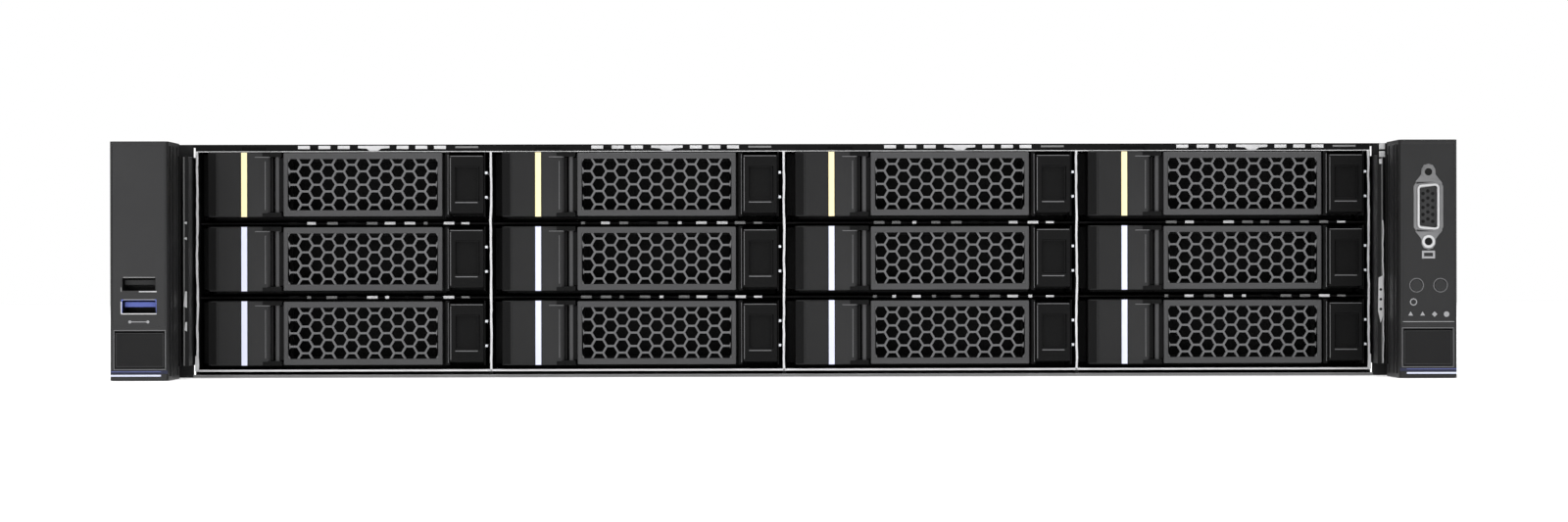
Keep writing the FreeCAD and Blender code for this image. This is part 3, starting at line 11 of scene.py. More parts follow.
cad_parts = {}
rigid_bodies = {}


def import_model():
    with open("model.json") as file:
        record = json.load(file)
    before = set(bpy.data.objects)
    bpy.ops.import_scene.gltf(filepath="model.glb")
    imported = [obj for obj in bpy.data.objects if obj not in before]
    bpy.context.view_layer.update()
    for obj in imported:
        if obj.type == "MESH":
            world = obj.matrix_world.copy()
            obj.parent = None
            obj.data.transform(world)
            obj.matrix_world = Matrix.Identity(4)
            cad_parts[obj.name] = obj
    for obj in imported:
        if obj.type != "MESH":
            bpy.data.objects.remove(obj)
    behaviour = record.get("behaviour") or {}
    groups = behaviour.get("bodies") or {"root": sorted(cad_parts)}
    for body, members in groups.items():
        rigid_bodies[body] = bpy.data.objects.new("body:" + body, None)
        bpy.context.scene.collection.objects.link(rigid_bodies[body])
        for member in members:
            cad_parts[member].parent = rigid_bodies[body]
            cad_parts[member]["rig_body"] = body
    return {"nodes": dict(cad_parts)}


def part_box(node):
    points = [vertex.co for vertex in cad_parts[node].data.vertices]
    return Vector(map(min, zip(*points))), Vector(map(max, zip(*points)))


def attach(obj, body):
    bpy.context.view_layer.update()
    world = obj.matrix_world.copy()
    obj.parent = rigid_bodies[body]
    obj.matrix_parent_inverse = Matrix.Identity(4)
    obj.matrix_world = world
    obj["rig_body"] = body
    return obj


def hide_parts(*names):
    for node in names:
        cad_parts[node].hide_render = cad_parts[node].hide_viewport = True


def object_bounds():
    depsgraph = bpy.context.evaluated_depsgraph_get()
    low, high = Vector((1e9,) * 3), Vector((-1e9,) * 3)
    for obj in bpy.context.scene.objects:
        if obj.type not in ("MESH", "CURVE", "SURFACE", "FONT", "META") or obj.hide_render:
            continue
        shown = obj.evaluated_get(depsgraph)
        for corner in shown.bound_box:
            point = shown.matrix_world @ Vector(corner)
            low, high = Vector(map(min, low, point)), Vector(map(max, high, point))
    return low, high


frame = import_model()
CAD_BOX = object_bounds()
MM = 0.001                    # metres in a millimetre


def corners(name):
    """A node's lowest and highest corner in millimetres."""
    low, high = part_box(name)
    return Vector(low) / MM, Vector(high) / MM


# ---------------------------------------------------------------- sizes, in millimetres
ROWS = 3
COLUMNS = 4
CARRIERS = ROWS * COLUMNS
FANS = 4
SUPPLIES = 2
BUTTON_START = 92.0           # release button from its bay's left plate
BUTTON_LIFT = 1.2             # release button above the bezel's foot
BEZEL = 23.6                  # height of a bezel
BAY = 106.5                   # between two cage plates
FACE = -4.0                   # front plane of the bezels
PIPE_HEIGHTS = (7.1, 16.1)    # light pipes above the bezel's foot
EAR_FACE = -34.0
EAR_WIDTH = 20.9
SHELF_LIFT = 24.45            # shelf between two rows above the lower bezel's foot
PLATE = 1.2                   # cage plate
BRACKET_FRONT = -11.0         # front of the bracket between the cage and an ear

CAGE_LOW, CAGE_HIGH = corners("drive_cage")
HEIGHT = CAGE_HIGH.z
HALF = CAGE_HIGH.x            # half of the cage's width
EAR_OUTER = corners("ear_right")[1].x
EAR_INNER = EAR_OUTER - EAR_WIDTH
EAR_CENTRE = EAR_OUTER - EAR_WIDTH / 2
COVER_FRONT = corners("top_cover")[0].y
REAR = corners("chassis_tray")[1].y


# ---------------------------------------------------------------- materials
MIX_A, MIX_B, MIX_RESULT = 6, 7, 2     # colour sockets of a Mix node
MOTTLE_SCALE = 60.0
MOTTLE_BAND = (0.3, 0.7)      # part of the noise that is spread over the roughness
RELIEF_DEPTH = 0.0001         # in metres
EVEN = (1.0, 1.0, 1.0)


def surface(name, colour, roughness, metallic=0.0, mottle=0.08, grain=0.0, grain_size=0.0004,
            specular=0.5, stretch=EVEN, emission=None, glow=0.0, smudge=0.12):
    """A procedural finish: mottled colour, uneven roughness, and fine relief and a glow where asked."""
    made = bpy.data.materials.new(name)
    made.use_nodes = True
    tree = made.node_tree
    tree.nodes.clear()
    out = tree.nodes.new("ShaderNodeOutputMaterial")
    shader = tree.nodes.new("ShaderNodeBsdfPrincipled")
    tree.links.new(shader.outputs[0], out.inputs[0])
    shader.inputs["Metallic"].default_value = metallic
    shader.inputs["Specular IOR Level"].default_value = specular
    spot = tree.nodes.new("ShaderNodeTexCoord")
    scale = tree.nodes.new("ShaderNodeMapping")
    scale.inputs["Scale"].default_value = stretch
    tree.links.new(spot.outputs["Object"], scale.inputs["Vector"])
    broad = tree.nodes.new("ShaderNodeTexNoise")
    broad.inputs["Scale"].default_value = MOTTLE_SCALE
    broad.inputs["Detail"].default_value = 3.0
    tree.links.new(scale.outputs[0], broad.inputs["Vector"])
    tone = tree.nodes.new("ShaderNodeMix")
    tone.data_type = "RGBA"
    dark = [c * (1.0 - mottle) for c in colour]
    light = [min(1.0, c * (1.0 + mottle)) for c in colour]
    tone.inputs[MIX_A].default_value = (*dark, 1.0)
    tone.inputs[MIX_B].default_value = (*light, 1.0)
    tree.links.new(broad.outputs[0], tone.inputs[0])
    tree.links.new(tone.outputs[MIX_RESULT], shader.inputs["Base Color"])
    spread = tree.nodes.new("ShaderNodeMapRange")
    spread.inputs["From Min"].default_value = MOTTLE_BAND[0]
    spread.inputs["From Max"].default_value = MOTTLE_BAND[1]
    spread.inputs["To Min"].default_value = max(0.02, roughness * (1.0 - smudge))
    spread.inputs["To Max"].default_value = min(1.0, roughness * (1.0 + smudge))
    tree.links.new(broad.outputs[0], spread.inputs["Value"])
    tree.links.new(spread.outputs[0], shader.inputs["Roughness"])
    if grain:
        fine = tree.nodes.new("ShaderNodeTexNoise")
        fine.inputs["Scale"].default_value = 1.0 / grain_size
        fine.inputs["Detail"].default_value = 2.0
        relief = tree.nodes.new("ShaderNodeBump")
        relief.inputs["Strength"].default_value = grain
        relief.inputs["Distance"].default_value = RELIEF_DEPTH
        tree.links.new(scale.outputs[0], fine.inputs["Vector"])
        tree.links.new(fine.outputs[0], relief.inputs["Height"])
        tree.links.new(relief.outputs[0], shader.inputs["Normal"])
    if emission:
        shader.inputs["Emission Color"].default_value = (*emission, 1.0)
        shader.inputs["Emission Strength"].default_value = glow
    return made


def plastic(name, tone, roughness=0.42, grain=0.25, mottle=0.14, tint=(1.0, 1.0, 1.03),
            specular=0.22):
    """A dark moulded plastic of one tone."""
    return surface(name, [tone * t for t in tint], roughness, grain=grain, mottle=mottle,
                   specular=specular)


def metal(name, tone, roughness, grain=0.25, grain_size=0.001, stretch=EVEN, mottle=0.06):
    """A sheet metal of one tone."""
    return surface(name, (tone, tone, tone * 1.02), roughness, metallic=1.0, grain=grain,
                   grain_size=grain_size, mottle=mottle, stretch=stretch)


M = {
    "bezel": plastic("bezel_plastic", 0.0125, mottle=0.22),
    # near-black copy of the bezel plastic: painted shade on side faces, in recesses, notches and slots,
    # and plain near-black on a few small parts
    "bezel_black_and_shade": plastic("bezel_black_and_shade", 0.004, 0.5, mottle=0.2, specular=0.1),
    # paler copy of the bezel plastic: painted highlight on the rib and the face beside the lever
    "bezel_painted_highlight": plastic("bezel_painted_highlight", 0.02, mottle=0.2),
    "lever": plastic("lever_plastic", 0.058, 0.4, mottle=0.12),
    # paler copy of the lever plastic for the honeycomb's webs: painted highlight
    "comb": plastic("comb_painted_highlight", 0.13, 0.34, mottle=0.1),
    "button": plastic("button_plastic", 0.004, 0.5, mottle=0.25, specular=0.1),
    # pale lines along edges of bezels, release buttons, the flap seats and the push buttons: painted
    # highlight
    "highlight_line": plastic("highlight_line_plastic", 0.13, 0.35, mottle=0.2),
    "ear": plastic("ear_plastic", 0.027, 0.46, grain=0.3, mottle=0.12),
    # darker copy of the ear plastic for the right ear: painted shade
    "ear_right_shaded": plastic("ear_plastic_right_shaded", 0.018, 0.46, grain=0.3, mottle=0.12),
    # darker copy of the ear plastic for side walls, recesses and the insides of the sockets: painted
    # shade
    "ear_side_shade": plastic("ear_side_shade", 0.01, 0.4, mottle=0.1),
    "flap": plastic("flap_plastic", 0.011, 0.5, mottle=0.15, specular=0.12),
    # near-black: the cage's own colour, and painted shade on the drives' fronts and deep inside the
    # carriers
    "cage": plastic("cage_steel", 0.004, 0.6, mottle=0.2, specular=0.1),
    # bright metal on edges, dashes and tabs: partly the metal's own colour, partly painted glint
    "bare_and_glint": surface("bare_edge_and_glint", (0.72, 0.72, 0.73), 0.35, metallic=0.6, grain=0.3, mottle=0.12),
    # dim metal on edges and bands: partly the metal's own colour, partly a dimmer painted glint
    "dull": surface("dull_edge", (0.2, 0.2, 0.2), 0.4, metallic=0.5, grain=0.3, mottle=0.2),
    "zinc": metal("zinc_sheet", 0.3, 0.42, stretch=(1.0, 0.4, 1.0), mottle=0.14),
    "cover": metal("cover_steel", 0.27, 0.45, stretch=(1.0, 0.15, 1.0), mottle=0.1),
    "nickel": metal("nickel", 0.24, 0.35, mottle=0.2),
    "bright": surface("bright_nickel", (0.6, 0.6, 0.61), 0.3, metallic=0.6, mottle=0.12),
    "push": plastic("push_plastic", 0.022, 0.3, grain=0.1),
    "board": surface("board", (0.02, 0.11, 0.055), 0.4, mottle=0.25),
    "slot": plastic("slot_plastic", 0.03, 0.4),
    "duct": plastic("duct_plastic", 0.012, 0.5),
    "fan": plastic("fan_plastic", 0.012, 0.45, grain=0.1),
    "drive": metal("drive_body", 0.5, 0.35, mottle=0.06),
    "black": plastic("matt_black", 0.003, 0.8),
    # coloured strips on the bezels, with a faint glow: painted light
    "amber": surface("strip_warm", (0.86, 0.74, 0.42), 0.35, mottle=0.03,
                     emission=(1.0, 0.82, 0.5), glow=0.16),
    "pale": surface("strip_pale", (0.62, 0.64, 0.82), 0.35, mottle=0.03,
                    emission=(0.78, 0.8, 1.0), glow=0.14),
    "pipe": surface("light_pipe", (0.6, 0.62, 0.65), 0.25, mottle=0.2),
    "mark": surface("print_grey", (0.27, 0.27, 0.28), 0.5, mottle=0.1),
    "accent": surface("accent_navy", (0.004, 0.007, 0.035), 0.4, mottle=0.1, grain=0.1),
    "accent_line": surface("accent_line", (0.62, 0.65, 0.82), 0.35, mottle=0.05),
    # lighter blue line along the navy foot's upper part: painted highlight
    "accent_painted_highlight": surface("accent_painted_highlight", (0.07, 0.085, 0.24), 0.35, mottle=0.2),
    # blue plastic tongue with a faint glow: painted light
    "blue_tongue": surface("blue_tongue", (0.1, 0.14, 0.5), 0.35, mottle=0.05,
                           emission=(0.25, 0.32, 1.0), glow=0.05),
    "black_tongue": plastic("black_tongue", 0.03, 0.35),
    "touch": surface("touch_blue", (0.06, 0.1, 0.26), 0.4, grain=0.15),
    "release": surface("release_tab", (0.33, 0.1, 0.045), 0.4, grain=0.15),
    "seam": plastic("dark_seam", 0.02, 0.6),
    "screw": metal("screw_steel", 0.45, 0.3),
}


# ---------------------------------------------------------------- making pieces
FUSE = 1e-6                   # corners of a CAD mesh this close are one, in metres
FLAT_ANGLE = 0.5              # degrees between faces that are one plane
SHARP_ANGLE = 30              # degrees from which an edge is broken
FAR = 1e6                     # beyond everything


def rectangle(x, z):
    """Corners of a rectangle between pairs of limits."""
    return [(x[0], z[0]), (x[1], z[0]), (x[1], z[1]), (x[0], z[1])]


def circle(x, z, radius, sides=24, start=0.0):
    """Corners of a regular outline."""
    turns = [2 * math.pi * (k + start) / sides for k in range(sides)]
    return [(x + radius * math.cos(t), z + radius * math.sin(t)) for t in turns]


def skin(face, proud, sunk=0.1):
    """Depths of a thin piece proud of a face that looks forward, and sunk a little into it."""
    return face - proud, face + sunk


def within(limits, margin):
    """A pair of limits drawn in by a margin at each end."""
    return limits[0] + margin, limits[1] - margin


def about(middle, reach):
    """A pair of limits on both sides of a middle."""
    return middle - reach, middle + reach


class Bits:
    """Blocks, plates and bars gathered into one mesh, in millimetres."""

    def __init__(self):
        self.work = bmesh.new()

    def paint(self, verts, finish):
        """Give the faces at these corners a finish."""
        for face in {f for v in verts for f in v.link_faces}:
            face.material_index = finish

    def block(self, x, y, z, finish=0):
        """A block between pairs of limits."""
        made = bmesh.ops.create_cube(self.work, size=1.0)["verts"]
        for v in made:
            v.co = Vector([lo + (c + 0.5) * (hi - lo) for c, (lo, hi) in zip(v.co, (x, y, z))])
        self.paint(made, finish)

    def outline(self, points, y0, y1, finish=0):
        """An outline in the XZ plane, between two depths."""
        rings = [[self.work.verts.new((x, y, z)) for x, z in points] for y in (y0, y1)]
        self.close(rings, finish)

    def flat(self, points, z0, z1, finish=0):
        """An outline in the XY plane, between two heights."""
        rings = [[self.work.verts.new((x, y, z)) for x, y in points] for z in (z0, z1)]
        self.close(rings, finish)

    def close(self, rings, finish):
        """Cap two matching rings of corners and wall them in."""
        made = [self.work.faces.new(rings[0]), self.work.faces.new(rings[1][::-1])]
        count = len(rings[0])
        for k in range(count):
            n = (k + 1) % count
            made.append(self.work.faces.new((rings[0][n], rings[0][k], rings[1][k], rings[1][n])))
        self.settle(made, finish)

    def settle(self, made, finish):
        """Turn new faces outwards and give them a finish."""
        bmesh.ops.recalc_face_normals(self.work, faces=made)
        for face in made:
            face.material_index = finish

    def band(self, outer, inner, y0, y1, finish=0):
        """A plate in the XZ plane between two outlines with the same number of points."""
        count = len(outer)
        o0, i0, o1, i1 = [[self.work.verts.new((x, y, z)) for x, z in line]
                          for y in (y0, y1) for line in (outer, inner)]
        made = []
        for k in range(count):
            n = (k + 1) % count
            made.append(self.work.faces.new((o0[k], o0[n], i0[n], i0[k])))
            made.append(self.work.faces.new((o1[n], o1[k], i1[k], i1[n])))
            made.append(self.work.faces.new((o0[n], o0[k], o1[k], o1[n])))
            made.append(self.work.faces.new((i0[k], i0[n], i1[n], i1[k])))
        self.settle(made, finish)

    def frame(self, x, z, wall, y, finish=0):
        """A rectangular rim of one wall, inside pairs of limits."""
        inner = rectangle(within(x, wall), within(z, wall))
        self.band(rectangle(x, z), inner, *y, finish)

    def frame_flat(self, x, y, wall, z, finish=0):
        """A rectangular rim that lies flat, inside pairs of limits."""
        between = within(y, wall)
        for a, b in ((x, (y[0], y[0] + wall)), (x, (y[1] - wall, y[1])),
                     ((x[0], x[0] + wall), between), ((x[1] - wall, x[1]), between)):
            self.block(a, b, z, finish)

    def bar(self, centre, axis, radius, length, finish=0, sides=16):
        """A round bar along X, Y or Z, with its middle on a point."""
        made = bmesh.ops.create_cone(self.work, cap_ends=True, segments=sides, radius1=radius,
                                     radius2=radius, depth=length)["verts"]
        turn = {"x": Matrix.Rotation(math.pi / 2, 3, "Y"),
                "y": Matrix.Rotation(-math.pi / 2, 3, "X"),
                "z": Matrix.Identity(3)}[axis]
        for v in made:
            v.co = turn @ v.co + Vector(centre)
        self.paint(made, finish)

    def mesh(self, name, *finishes):
        """The gathered mesh in metres, with a material slot for each finish."""
        made = bpy.data.meshes.new(name)
        bmesh.ops.scale(self.work, vec=(MM, MM, MM), verts=self.work.verts)
        self.work.to_mesh(made)
        self.work.free()
        for finish in finishes:
            made.materials.append(M[finish])
        return made


def place(name, mesh, body, location=(0.0, 0.0, 0.0), bevel=0.0):
    """A new piece on its body at a place in millimetres, its edges broken where a bevel is given."""
    piece = bpy.data.objects.new(name, mesh)
    bpy.context.scene.collection.objects.link(piece)
    piece.location = Vector(location) * MM
    if bevel:
        soften(piece, bevel)
    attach(piece, body)
    return piece


def soften(piece, width):
    """Break the sharp edges of a piece."""
    soft = piece.modifiers.new("soft", "BEVEL")
    soft.width = width * MM
    soft.segments = 2
    soft.limit_method = "ANGLE"
    soft.angle_limit = math.radians(SHARP_ANGLE)
    soft.use_clamp_overlap = True
    soft.harden_normals = True


def softened(name, width, finishes, choose=None):
    """A copy of a CAD node with its sharp edges broken, in place of the node."""
    source = frame["nodes"][name]
    work = bmesh.new()
    work.from_mesh(source.data)
    bmesh.ops.remove_doubles(work, verts=work.verts, dist=FUSE)
    bmesh.ops.dissolve_limit(work, angle_limit=math.radians(FLAT_ANGLE), verts=work.verts,
                             edges=work.edges)
    for f in work.faces:
        f.smooth = False
        f.material_index = choose(f.calc_center_median() / MM, f.normal) if choose else 0
    mesh = bpy.data.meshes.new(name + "_soft")
    work.to_mesh(mesh)
    work.free()
    for finish in finishes:
        mesh.materials.append(M[finish])
    piece = place(name + "_look", mesh, source["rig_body"])
    soften(piece, width)
    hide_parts(name)


def painted(name, *finishes, choose=None):
    """A CAD node kept as it is, with its finishes in its material slots."""
    shown = frame["nodes"][name]
    shown.data.materials.clear()
    for finish in finishes:
        shown.data.materials.append(M[finish])
    if choose:
        for f in shown.data.polygons:
            f.material_index = choose(Vector(f.center) / MM, f.normal)


# ---------------------------------------------------------------- bays
def bay_corner(number):
    """A bay's left plate and its bezel's foot."""
    low, _ = corners("carrier_button_%02d" % number)
    return low.x - BUTTON_START, low.z - BUTTON_LIFT


BAYS = {number: bay_corner(number) for number in range(1, CARRIERS + 1)}
LEFTS = [BAYS[number][0] for number in range(1, COLUMNS + 1)]
FEET = [BAYS[1 + COLUMNS * row][1] for row in range(ROWS)]


# ---------------------------------------------------------------- honeycomb levers
LEVER_WIDTH = 58.1
LEVER_DEPTH = 2.4
LEVER_RIM = 1.6               # frame round the cells
CELL_WALL = 0.75              # between two cells
CELL_PITCH = 4.9              # flat to flat plus one wall
CELL_COLUMNS = 13
CELLS_TALL = 4                # in a short column, and one more in the next
COMB_HALF = 9.4               # half of the honeycomb's height
COMB_SETBACK = 0.6            # behind the frame's front
COMB_BACK_GAP = 0.2           # before the frame's back
COMB_OVERLAP = 0.3            # run into the frame all round
PIN_RADIUS = 0.9
PIN_DEPTH = -2.6              # the pin's axis, from the rack plane
WEB_DEPTHS = (-3.2, -2.1)     # web between the pin and the frame
WEB_MARGIN = 1.8              # web below the frame's top and above its foot
WEB_ROOT = 0.5                # web run into the frame


def clipped(points, low=-FAR, high=FAR):
    """A convex outline cut between two heights."""
    for limit, sign in ((high, 1), (low, -1)):
        cut = []
        for (ax, az), (bx, bz) in zip(points, points[1:] + points[:1]):
            inside_a = sign * az <= sign * limit
            inside_b = sign * bz <= sign * limit
            if inside_a:
                cut.append((ax, az))
            if inside_a != inside_b:
                t = (limit - az) / (bz - az)
                cut.append((ax + (bx - ax) * t, limit))
        points = cut
        if not points:
            break
    return points


def cells(middle):
    """Outlines of the honeycomb's openings, cut off where the frame starts."""
    column_pitch = CELL_PITCH * math.sqrt(3) / 2
    radius = (CELL_PITCH - CELL_WALL) / math.sqrt(3)
    outlines = []
    for column in range(CELL_COLUMNS):
        x = middle + column_pitch * (column - (CELL_COLUMNS - 1) / 2)
        count = CELLS_TALL + column % 2
        for number in range(count):
            z = CELL_PITCH * (number - (count - 1) / 2)
            outline = clipped(circle(x, z, radius, 6), -COMB_HALF, COMB_HALF)
            if len(outline) > 2:
                outlines.append(outline)
    return outlines


def plate_with_holes(outer, holes, front, back):
    """A flat plate in the XZ plane between two depths, with openings right through."""
    work = bmesh.new()
    edges = []
    # filled in metres, and turned back to millimetres for the rest
    for outline in [outer] + holes:
        ring = [work.verts.new((x * MM, front * MM, z * MM)) for x, z in outline]
        for a, b in zip(ring, ring[1:] + ring[:1]):
            edges.append(work.edges.new((a, b)))
    bmesh.ops.triangle_fill(work, use_beauty=True, use_dissolve=False, edges=edges)
    bmesh.ops.scale(work, vec=(1 / MM, 1 / MM, 1 / MM), verts=work.verts)
    pushed = bmesh.ops.extrude_face_region(work, geom=list(work.faces))
    moved = [g for g in pushed["geom"] if isinstance(g, bmesh.types.BMVert)]
    bmesh.ops.translate(work, vec=(0, back - front, 0), verts=moved)
    bmesh.ops.recalc_face_normals(work, faces=work.faces)
    return work


def bevel_sharp(work, width, segments=1, angle=40):
    """Break the sharp edges of a bmesh."""
    sharp = [e for e in work.edges
             if len(e.link_faces) == 2 and e.calc_face_angle(0) > math.radians(angle)]
    bmesh.ops.bevel(work, geom=sharp, offset=width, offset_type="OFFSET", segments=segments,
                    profile=0.5, affect="EDGES", clamp_overlap=True)


def lever_mesh(low, high):
    """The frame, the honeycomb recessed in it, and the pin with its web, round the node's centre."""
    centre = (low + high) / 2
    across = (high.x - LEVER_WIDTH - centre.x, high.x - centre.x)
    tall = (low.z - centre.z, high.z - centre.z)
    front = low.y
    back = front + LEVER_DEPTH
    opening = rectangle(within(across, LEVER_RIM), (-COMB_HALF, COMB_HALF))
    frame_part = plate_with_holes(rectangle(across, tall), [opening], front, back)
    bevel_sharp(frame_part, 0.35, 2)
    edge = rectangle(within(within(across, LEVER_RIM), -COMB_OVERLAP),
                     about(0.0, COMB_HALF + COMB_OVERLAP))
    comb = plate_with_holes(edge, cells(sum(across) / 2), front + COMB_SETBACK,
                            back - COMB_BACK_GAP)
    bevel_sharp(comb, 0.1)
    # the webs take the paler copy of the lever plastic: painted highlight
    for face in comb.faces:
        face.material_index = 1
    hinge = Bits()
    pin = low.x + PIN_RADIUS - centre.x
    root = across[0] + WEB_ROOT
    hinge.bar((pin, PIN_DEPTH, 0.0), "z", PIN_RADIUS, high.z - low.z, sides=24)
    # the web and the block beside it take the near-black copy of the bezel plastic: painted shade in
    # the slot by the lever
    hinge.block((pin, root), WEB_DEPTHS, within(tall, WEB_MARGIN), 2)
    hinge.block((across[0] - 0.05, root), (front + 0.7, back - 0.1), within(tall, 1.9), 2)
    whole = Bits()
    for part in (frame_part, comb, hinge.work):
        carried = bpy.data.meshes.new("lever_part")
        part.to_mesh(carried)
        part.free()
        whole.work.from_mesh(carried)
    return whole.mesh("lever_whole", "lever", "comb", "bezel_black_and_shade")


def build_levers():
    """The fine honeycomb lever in place of each node, all from one mesh."""
    shared = lever_mesh(*corners("lever_01"))
    for number in range(1, CARRIERS + 1):
        name = "lever_%02d" % number
        low, high = corners(name)
        centre = (low + high) / 2
        piece = place("honeycomb_%02d" % number, shared, name,
                      (centre.x, 0.0, centre.z))
        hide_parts(name)


# ---------------------------------------------------------------- carriers
# Places are across from the bay's left plate and up from the bezel's foot.
SHELL, STRIP, PIPE, DRIVE, HIGHLIGHT_FACE, DEEP_SHADE, SIDE_SHADE = range(7)     # finishes of a carrier's faces: the paler face is a painted highlight, the dark and side ones painted shade
PIPE_ZONE = 1.5               # the light pipes lie this near to the right plate
PIPE_HALF = 0.45
PIPE_ENDS = (160.0, FAR)      # depth to which each pipe's faces have its finish
STRIP_SPAN = (15.7, 18.0)
STRIP_BACK = -2.5
HANDLE_END = 15.0             # of the plain face left of the coloured strip
RIB_END = 27.0                # of the paler rib beside the lever, a painted highlight
FLANGE = 4.0                  # side flange, its side faces darker as painted shade
PLATE_BACK = 9.0              # of the bezel and its back plate
DRIVE_START = 13.5
DRIVE_SIDE = 2.4              # from the drive to the plates


def carrier_choice(left, foot):
    """Finish of a carrier's faces by their place in the bay, with painted shade and a painted
    highlight.
    """
    def choose(centre, normal):
        across = centre.x - left
        forward = normal.y < -0.5
        on_pipe = any(abs(centre.z - foot - z) < 0.5 and centre.y < end
                      for z, end in zip(PIPE_HEIGHTS, PIPE_ENDS))
        if on_pipe and across > BAY - PIPE_ZONE:
            return PIPE
        if STRIP_SPAN[0] < across < STRIP_SPAN[1] and centre.y < STRIP_BACK:
            return STRIP
        # the drive's front and every face behind the bezel are near-black: painted shade
        if centre.y > DRIVE_START and DRIVE_SIDE < across < BAY - DRIVE_SIDE:
            return DEEP_SHADE if forward else DRIVE
        if centre.y > PLATE_BACK:
            return DEEP_SHADE
        # the flange's side faces, set-back faces and faces right of the rib take the darker copy:
        # painted shade
        if not forward:
            return SIDE_SHADE if across < FLANGE else SHELL
        if centre.y >= FACE + 0.5 or across >= RIB_END:
            return SIDE_SHADE
        # the face between the strip and the lever takes the paler copy: painted highlight
        return SHELL if across < HANDLE_END else HIGHLIGHT_FACE
    return choose


def carrier_trim():
    """Raised parts of a bezel's face, with painted shade in its notches and slots and painted
    highlights on its rib and lines.
    """
    panel, shade, rib, highlight_line, pipe = range(5)
    tall = (0.25, BEZEL - 0.35)
    rib_start, rib_crest, rib_stop = 18.3, 22.4, 25.4
    notch = (23.6, 26.5)
    trim = Bits()
    # a darker strip at the left edge: painted shade
    trim.block((3.7, 6.6), skin(FACE, 0.1, 0.2), within((0.0, BEZEL), 0.3), shade)
    trim.block((7.3, 15.4), skin(FACE, 0.35, 0.2), tall, panel)
    # the rib in the paler copy: painted highlight
    trim.flat([(rib_start, FACE + 0.2), (rib_start, FACE - 0.2), (rib_crest, FACE - 0.35),
               (rib_stop, FACE - 0.1), (rib_stop, FACE + 0.2)], *tall, rib)
    # a pale line along the rib: painted highlight
    trim.block((24.5, 24.75), skin(FACE, 0.32, 0.0), (2.6, BEZEL - 3.2), highlight_line)
    # the hinge notches in the darker copy: painted shade
    for z in ((-0.02, 1.35), (BEZEL - 1.45, BEZEL + 0.02)):
        trim.block(notch, skin(FACE, 0.42, 0.3), z, shade)
    # a pale line under the upper notch: painted highlight
    trim.flat([(20.6, FACE), (20.9, FACE - 0.5), (25.8, FACE - 0.5), (26.4, FACE)],
              BEZEL - 1.85, BEZEL - 1.55, highlight_line)
    # behind the gaps on both sides of the lever: painted shade in the left one, a painted highlight
    # line in the right one
    trim.block((26.6, 27.4), (FACE + 0.8, FACE + 3.0), within((0.0, BEZEL), 1.8), shade)
    trim.block((91.3, 91.6), (FACE + 0.9, FACE + 2.0), within((0.0, BEZEL), 0.8), highlight_line)
    for z in PIPE_HEIGHTS:
        trim.block((105.1, 106.0), skin(FACE, 0.25, 0.0), about(z, PIPE_HALF), pipe)
    # a dark strip under the bezel's foot: painted shade
    trim.block((5.0, 90.0), (6.0, 6.2), (-0.9, 0.4), shade)
    return trim.mesh("carrier_trim_all", "bezel", "bezel_black_and_shade", "bezel_painted_highlight", "highlight_line", "pipe")


def button_trim():
    """Rim and finger recess of a release button, with painted highlight lines at its left edge, along
    the recess's foot and along its top.
    """
    rim, highlight_line = range(2)
    front = FACE - 0.6
    recess = (93.9, 102.7)
    trim = Bits()
    trim.block((92.35, 92.6), skin(front, 0.06), within((0.0, BEZEL), 2.0), highlight_line)
    trim.frame(recess, (5.2, 18.4), 0.3, skin(front, 0.05, 0.2), rim)
    trim.block(within(recess, 0.3), skin(front, 0.12), (5.0, 5.35), highlight_line)
    trim.block((92.4, 104.2), skin(front, 0.03), (BEZEL - 1.55, BEZEL - 1.3), highlight_line)
    return trim.mesh("button_trim", "button", "highlight_line")


def build_carriers():
    """Each carrier and its release button with broken edges, and the trim on both."""
    trim = carrier_trim()
    rim = button_trim()
    for number, (left, foot) in BAYS.items():
        spot = (left, 0.0, foot)
        strip = "amber" if number <= COLUMNS else "pale"
        name = "carrier_%02d" % number
        softened(name, 0.35,
                 ("bezel", strip, "pipe", "drive", "bezel_painted_highlight", "cage", "bezel_black_and_shade"),
                 carrier_choice(left, foot))
        place("bezel_trim_%02d" % number, trim, name, spot, 0.08)
        button = "carrier_button_%02d" % number
        softened(button, 0.35, ("button",))
        place("button_trim_%02d" % number, rim, button, spot)


# ---------------------------------------------------------------- cage front
BARE_AND_GLINT, DULL, BLACK = range(3)  # finishes of the cage's edges: bright and dim metal with painted glints, and black
CAGE_FRONT = CAGE_LOW.y
EDGE_WIDTH = 0.95             # front edge of an upright plate, uncoated, with a painted glint
EDGE_FOOT = 2.3
EDGE_TOP = HEIGHT - 2.6
EDGE_SEED = 5                 # each plate's edge has the next seed
BRACKET_X = HALF + 0.9
BRACKET_SEED = 31
SHELF_SEED = 12


def wavy(x, low, high, width, seed, steps=36):
    """A narrow upright ribbon's outline with uneven sides."""
    chance = random.Random(seed)
    left = []
    right = []
    shift = 0.0
    for k in range(steps + 1):
        z = low + (high - low) * k / steps
        shift = 0.75 * shift + chance.uniform(-0.1, 0.1)
        left.append((x + shift - width / 2 * chance.uniform(0.75, 1.0), z))
        right.append((x + shift + width / 2 * chance.uniform(0.75, 1.0), z))
    return right + left[::-1]


